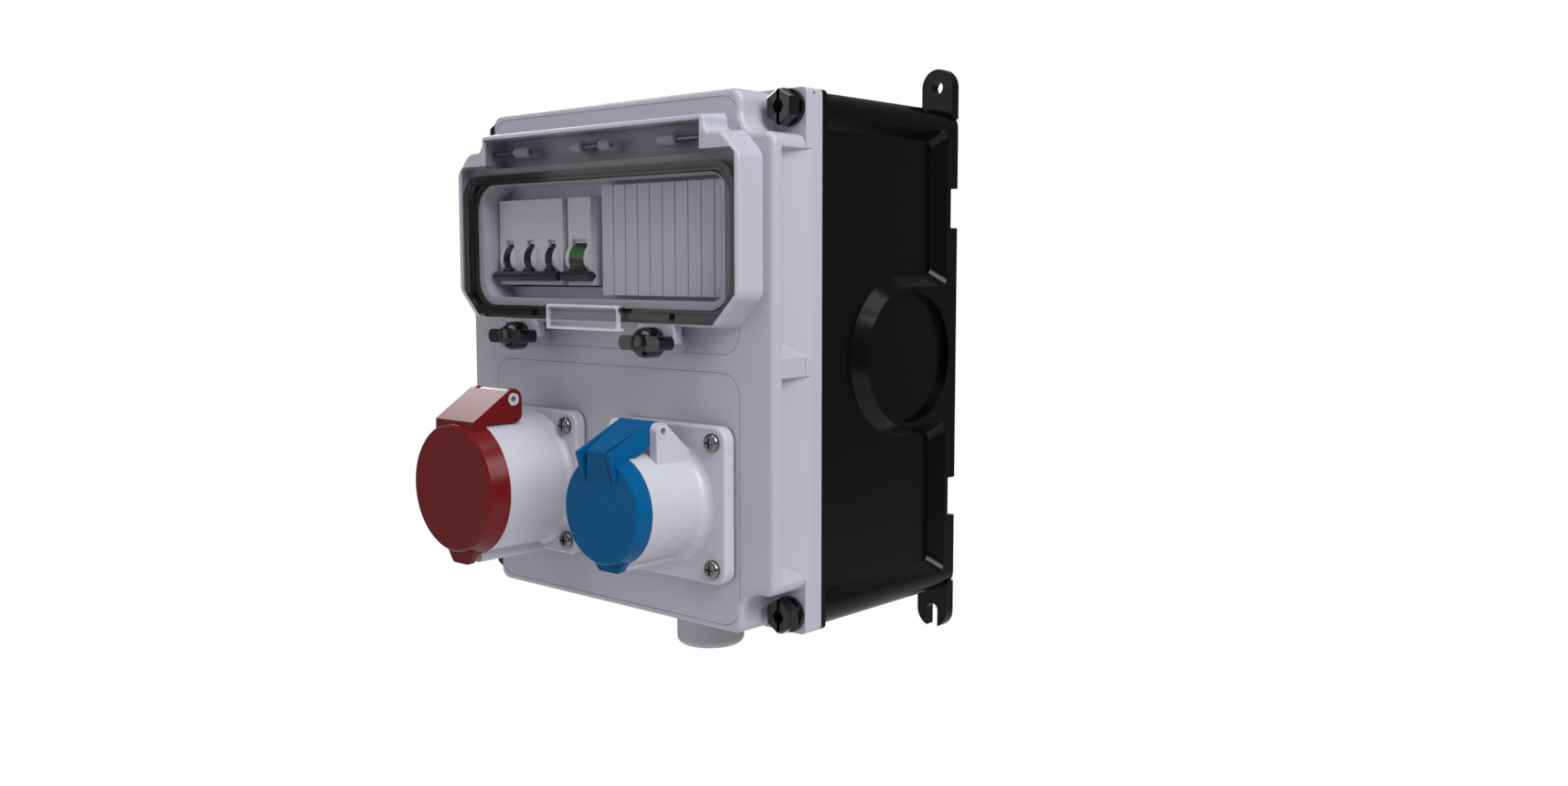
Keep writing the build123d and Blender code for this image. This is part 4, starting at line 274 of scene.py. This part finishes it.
def smoked(name, colour, roughness):
    """Tinted clear plastic: a smoky frame and a clearer pane, with the shade of the rim's steps painted as
    dark bands round the pane.
    """
    material, tree, shader = new_material(name)
    slow = noise(tree, scale=30, detail=1.0)
    distance = front_distance(tree, RING_HALF_X, RING_Z, RING_HALF_Z, RING_R)
    along = value_ramp(tree, distance, *RING_BAND, low=0.0, high=1.0)
    # Painted shade: bands of more opaque dark tint round the pane stand in for the shade of the rim's steps.
    painted_shade_bands = [(place, (hides, hides, hides, 1.0)) for place, hides in RING_PAINTED_SHADE]
    feed(shader, {
        "Base Color": uneven_colour(tree, slow, colour, low=0.9, high=1.1),
        "Alpha": colour_ramp(tree, along, painted_shade_bands),
        "Roughness": roughness,
        "Normal": bump(tree, slow, strength=0.03, distance=0.0004),
        "Specular IOR Level": 0.6,
    })
    return material


def clear(name, colour, roughness):
    """Clear plastic of the latch, with a painted highlight along its edges."""
    material, tree, shader = new_material(name)
    slow = noise(tree, scale=60, detail=1.0)
    distance = front_distance(tree, LATCH_HALF_X, LATCH_Z, LATCH_HALF_Z, LATCH_R)
    feed(shader, {
        "Base Color": uneven_colour(tree, slow, colour, low=0.95, high=1.0),
        # Painted highlight: the near-white colour shows opaque in a band inside the plate's edge, standing in
        # for the glints of clear plastic.
        "Alpha": value_ramp(tree, distance, *LATCH_HIGHLIGHT_BAND, *LATCH_HIGHLIGHT_ALPHA),
        "Roughness": roughness,
        "Normal": bump(tree, slow, strength=0.05, distance=0.0003),
        "Specular IOR Level": 0.9,
    })
    return material


# Kind, sRGB colour and other values of each material slot's finish
FINISHES = {
    "cover_grey": (cover_plastic, (178, 178, 190), {"roughness": 0.34, "grain": 0.10}),
    "mask_grey": (moulded, (196, 196, 212), {"roughness": 0.45, "grain": 0.12}),
    "device_grey": (moulded, (205, 205, 214), {"roughness": 0.42, "grain": 0.12}),
    "gland_grey": (moulded, (178, 178, 186), {"roughness": 0.42}),
    "socket_white": (moulded, (190, 190, 201), {"roughness": 0.34, "grain": 0.10}),
    "base_black": (moulded, (5, 5, 5), {
        "roughness": 0.20, "grain": 0.05, "grain_scale": 1200, "gloss": 0.22,
    }),
    "knob_black": (moulded, (6, 6, 6), {
        "roughness": 0.16, "grain": 0.04, "grain_scale": 1200, "gloss": 0.35, "coat": 0.5,
    }),
    "insert_black": (moulded, (26, 26, 26), {"roughness": 0.5}),
    "red_insert": (moulded, (110, 26, 30), {"roughness": 0.45}),
    "blue_insert": (moulded, (8, 70, 124), {"roughness": 0.45}),
    "red_lid": (moulded, (104, 16, 19), {"roughness": 0.26, "grain": 0.05, "gloss": 0.22}),
    "blue_lid": (moulded, (0, 84, 134), {"roughness": 0.30, "grain": 0.05, "gloss": 0.1}),
    "flag_green": (moulded, (16, 110, 26), {"roughness": 0.35}),
    "gasket_black": (rubber, (16, 16, 16), {}),
    "steel": (metal, (132, 131, 127), {"roughness": 0.18, "brushed": 0.12}),
    "zinc": (metal, (190, 190, 184), {"roughness": 0.35, "brushed": 0.25}),
    "brass": (metal, (206, 172, 104), {"roughness": 0.28, "brushed": 0.15}),
    "smoked_lid": (smoked, (20, 20, 18), {"roughness": 0.08}),
    # The latch's near-white shows mostly in the painted highlight along its edges.
    "clear_latch": (clear, (240, 240, 246), {"roughness": 0.06}),
}


def make_materials():
    """The material of each slot of the record. The blanking strip is of the mask's plastic."""
    by_slot = {slot: kind(slot, rgb(*colour), **values) for slot, (kind, colour, values) in FINISHES.items()}
    by_slot["strip_grey"] = by_slot["mask_grey"]
    return by_slot


def dress_nodes():
    """Gives each CAD node the material of its slot."""
    by_slot = make_materials()
    slot_of = {part["node"]: part["material_slot"] for part in frame["record"]["subparts"]}
    for name, node in frame["nodes"].items():
        if not node.material_slots:
            node.data.materials.append(None)
        for slot in node.material_slots:
            slot.link = "OBJECT"
            slot.material = by_slot[slot_of[name]]


def white_to_camera(tree, output, plain, white):
    """Shows the camera the white shader, and everything else the plain one."""
    from_camera = add_node(tree, "LightPath", {}).outputs["Is Camera Ray"]
    mix = add_node(tree, "MixShader", {"Fac": from_camera, 1: plain.outputs[0], 2: white.outputs[0]})
    add_node(tree, output, {"Surface": mix.outputs["Shader"]})


def make_world():
    world = bpy.data.worlds.new("studio")
    world.use_nodes = True
    bpy.context.scene.world = world
    tree = world.node_tree
    tree.nodes.clear()
    lighting = add_node(tree, "Background", {"Color": WORLD_TINT, "Strength": WORLD_GREY})
    white = add_node(tree, "Background", {"Color": WHITE, "Strength": 1.0})
    white_to_camera(tree, "OutputWorld", lighting, white)


def make_floor():
    """Pale floor well below the hanging box, white to the camera."""
    corners = [(x * FLOOR_HALF, y * FLOOR_HALF, FLOOR_Z) for x, y in ((-1, -1), (1, -1), (1, 1), (-1, 1))]
    mesh = bpy.data.meshes.new("floor")
    mesh.from_pydata(corners, [], [(0, 1, 2, 3)])
    floor = bpy.data.objects.new("floor", mesh)
    bpy.context.scene.collection.objects.link(floor)
    material, tree, _ = new_material("floor")
    tree.nodes.clear()
    diffuse = add_node(tree, "BsdfDiffuse", {"Color": FLOOR_GREY})
    white = add_node(tree, "Emission", {"Color": WHITE, "Strength": 1.0})
    white_to_camera(tree, "OutputMaterial", diffuse, white)
    mesh.materials.append(material)


def make_lamp(name, at, target, width, height, power):
    data = bpy.data.lights.new(name, "AREA")
    data.shape = "RECTANGLE"
    data.size = width
    data.size_y = height
    data.energy = power
    lamp = bpy.data.objects.new(name, data)
    bpy.context.scene.collection.objects.link(lamp)
    lamp.location = at
    lamp.rotation_euler = (Vector(target) - Vector(at)).to_track_quat("-Z", "Y").to_euler()


def make_camera():
    data = bpy.data.cameras.new("camera")
    data.sensor_width = SENSOR
    data.lens = SENSOR * FOCAL_PX / IMAGE_W
    data.clip_start = CLIP_START
    camera = bpy.data.objects.new("camera", data)
    camera.location = CAMERA_AT
    camera.rotation_euler = (math.radians(90 - CAMERA_DOWN), 0, math.radians(CAMERA_AZIMUTH))
    bpy.context.scene.collection.objects.link(camera)
    bpy.context.scene.camera = camera


make_camera()
make_world()
make_floor()
dress_nodes()
for lamp in LAMPS:
    make_lamp(*lamp)

bpy.context.scene.view_settings.view_transform = "Standard"
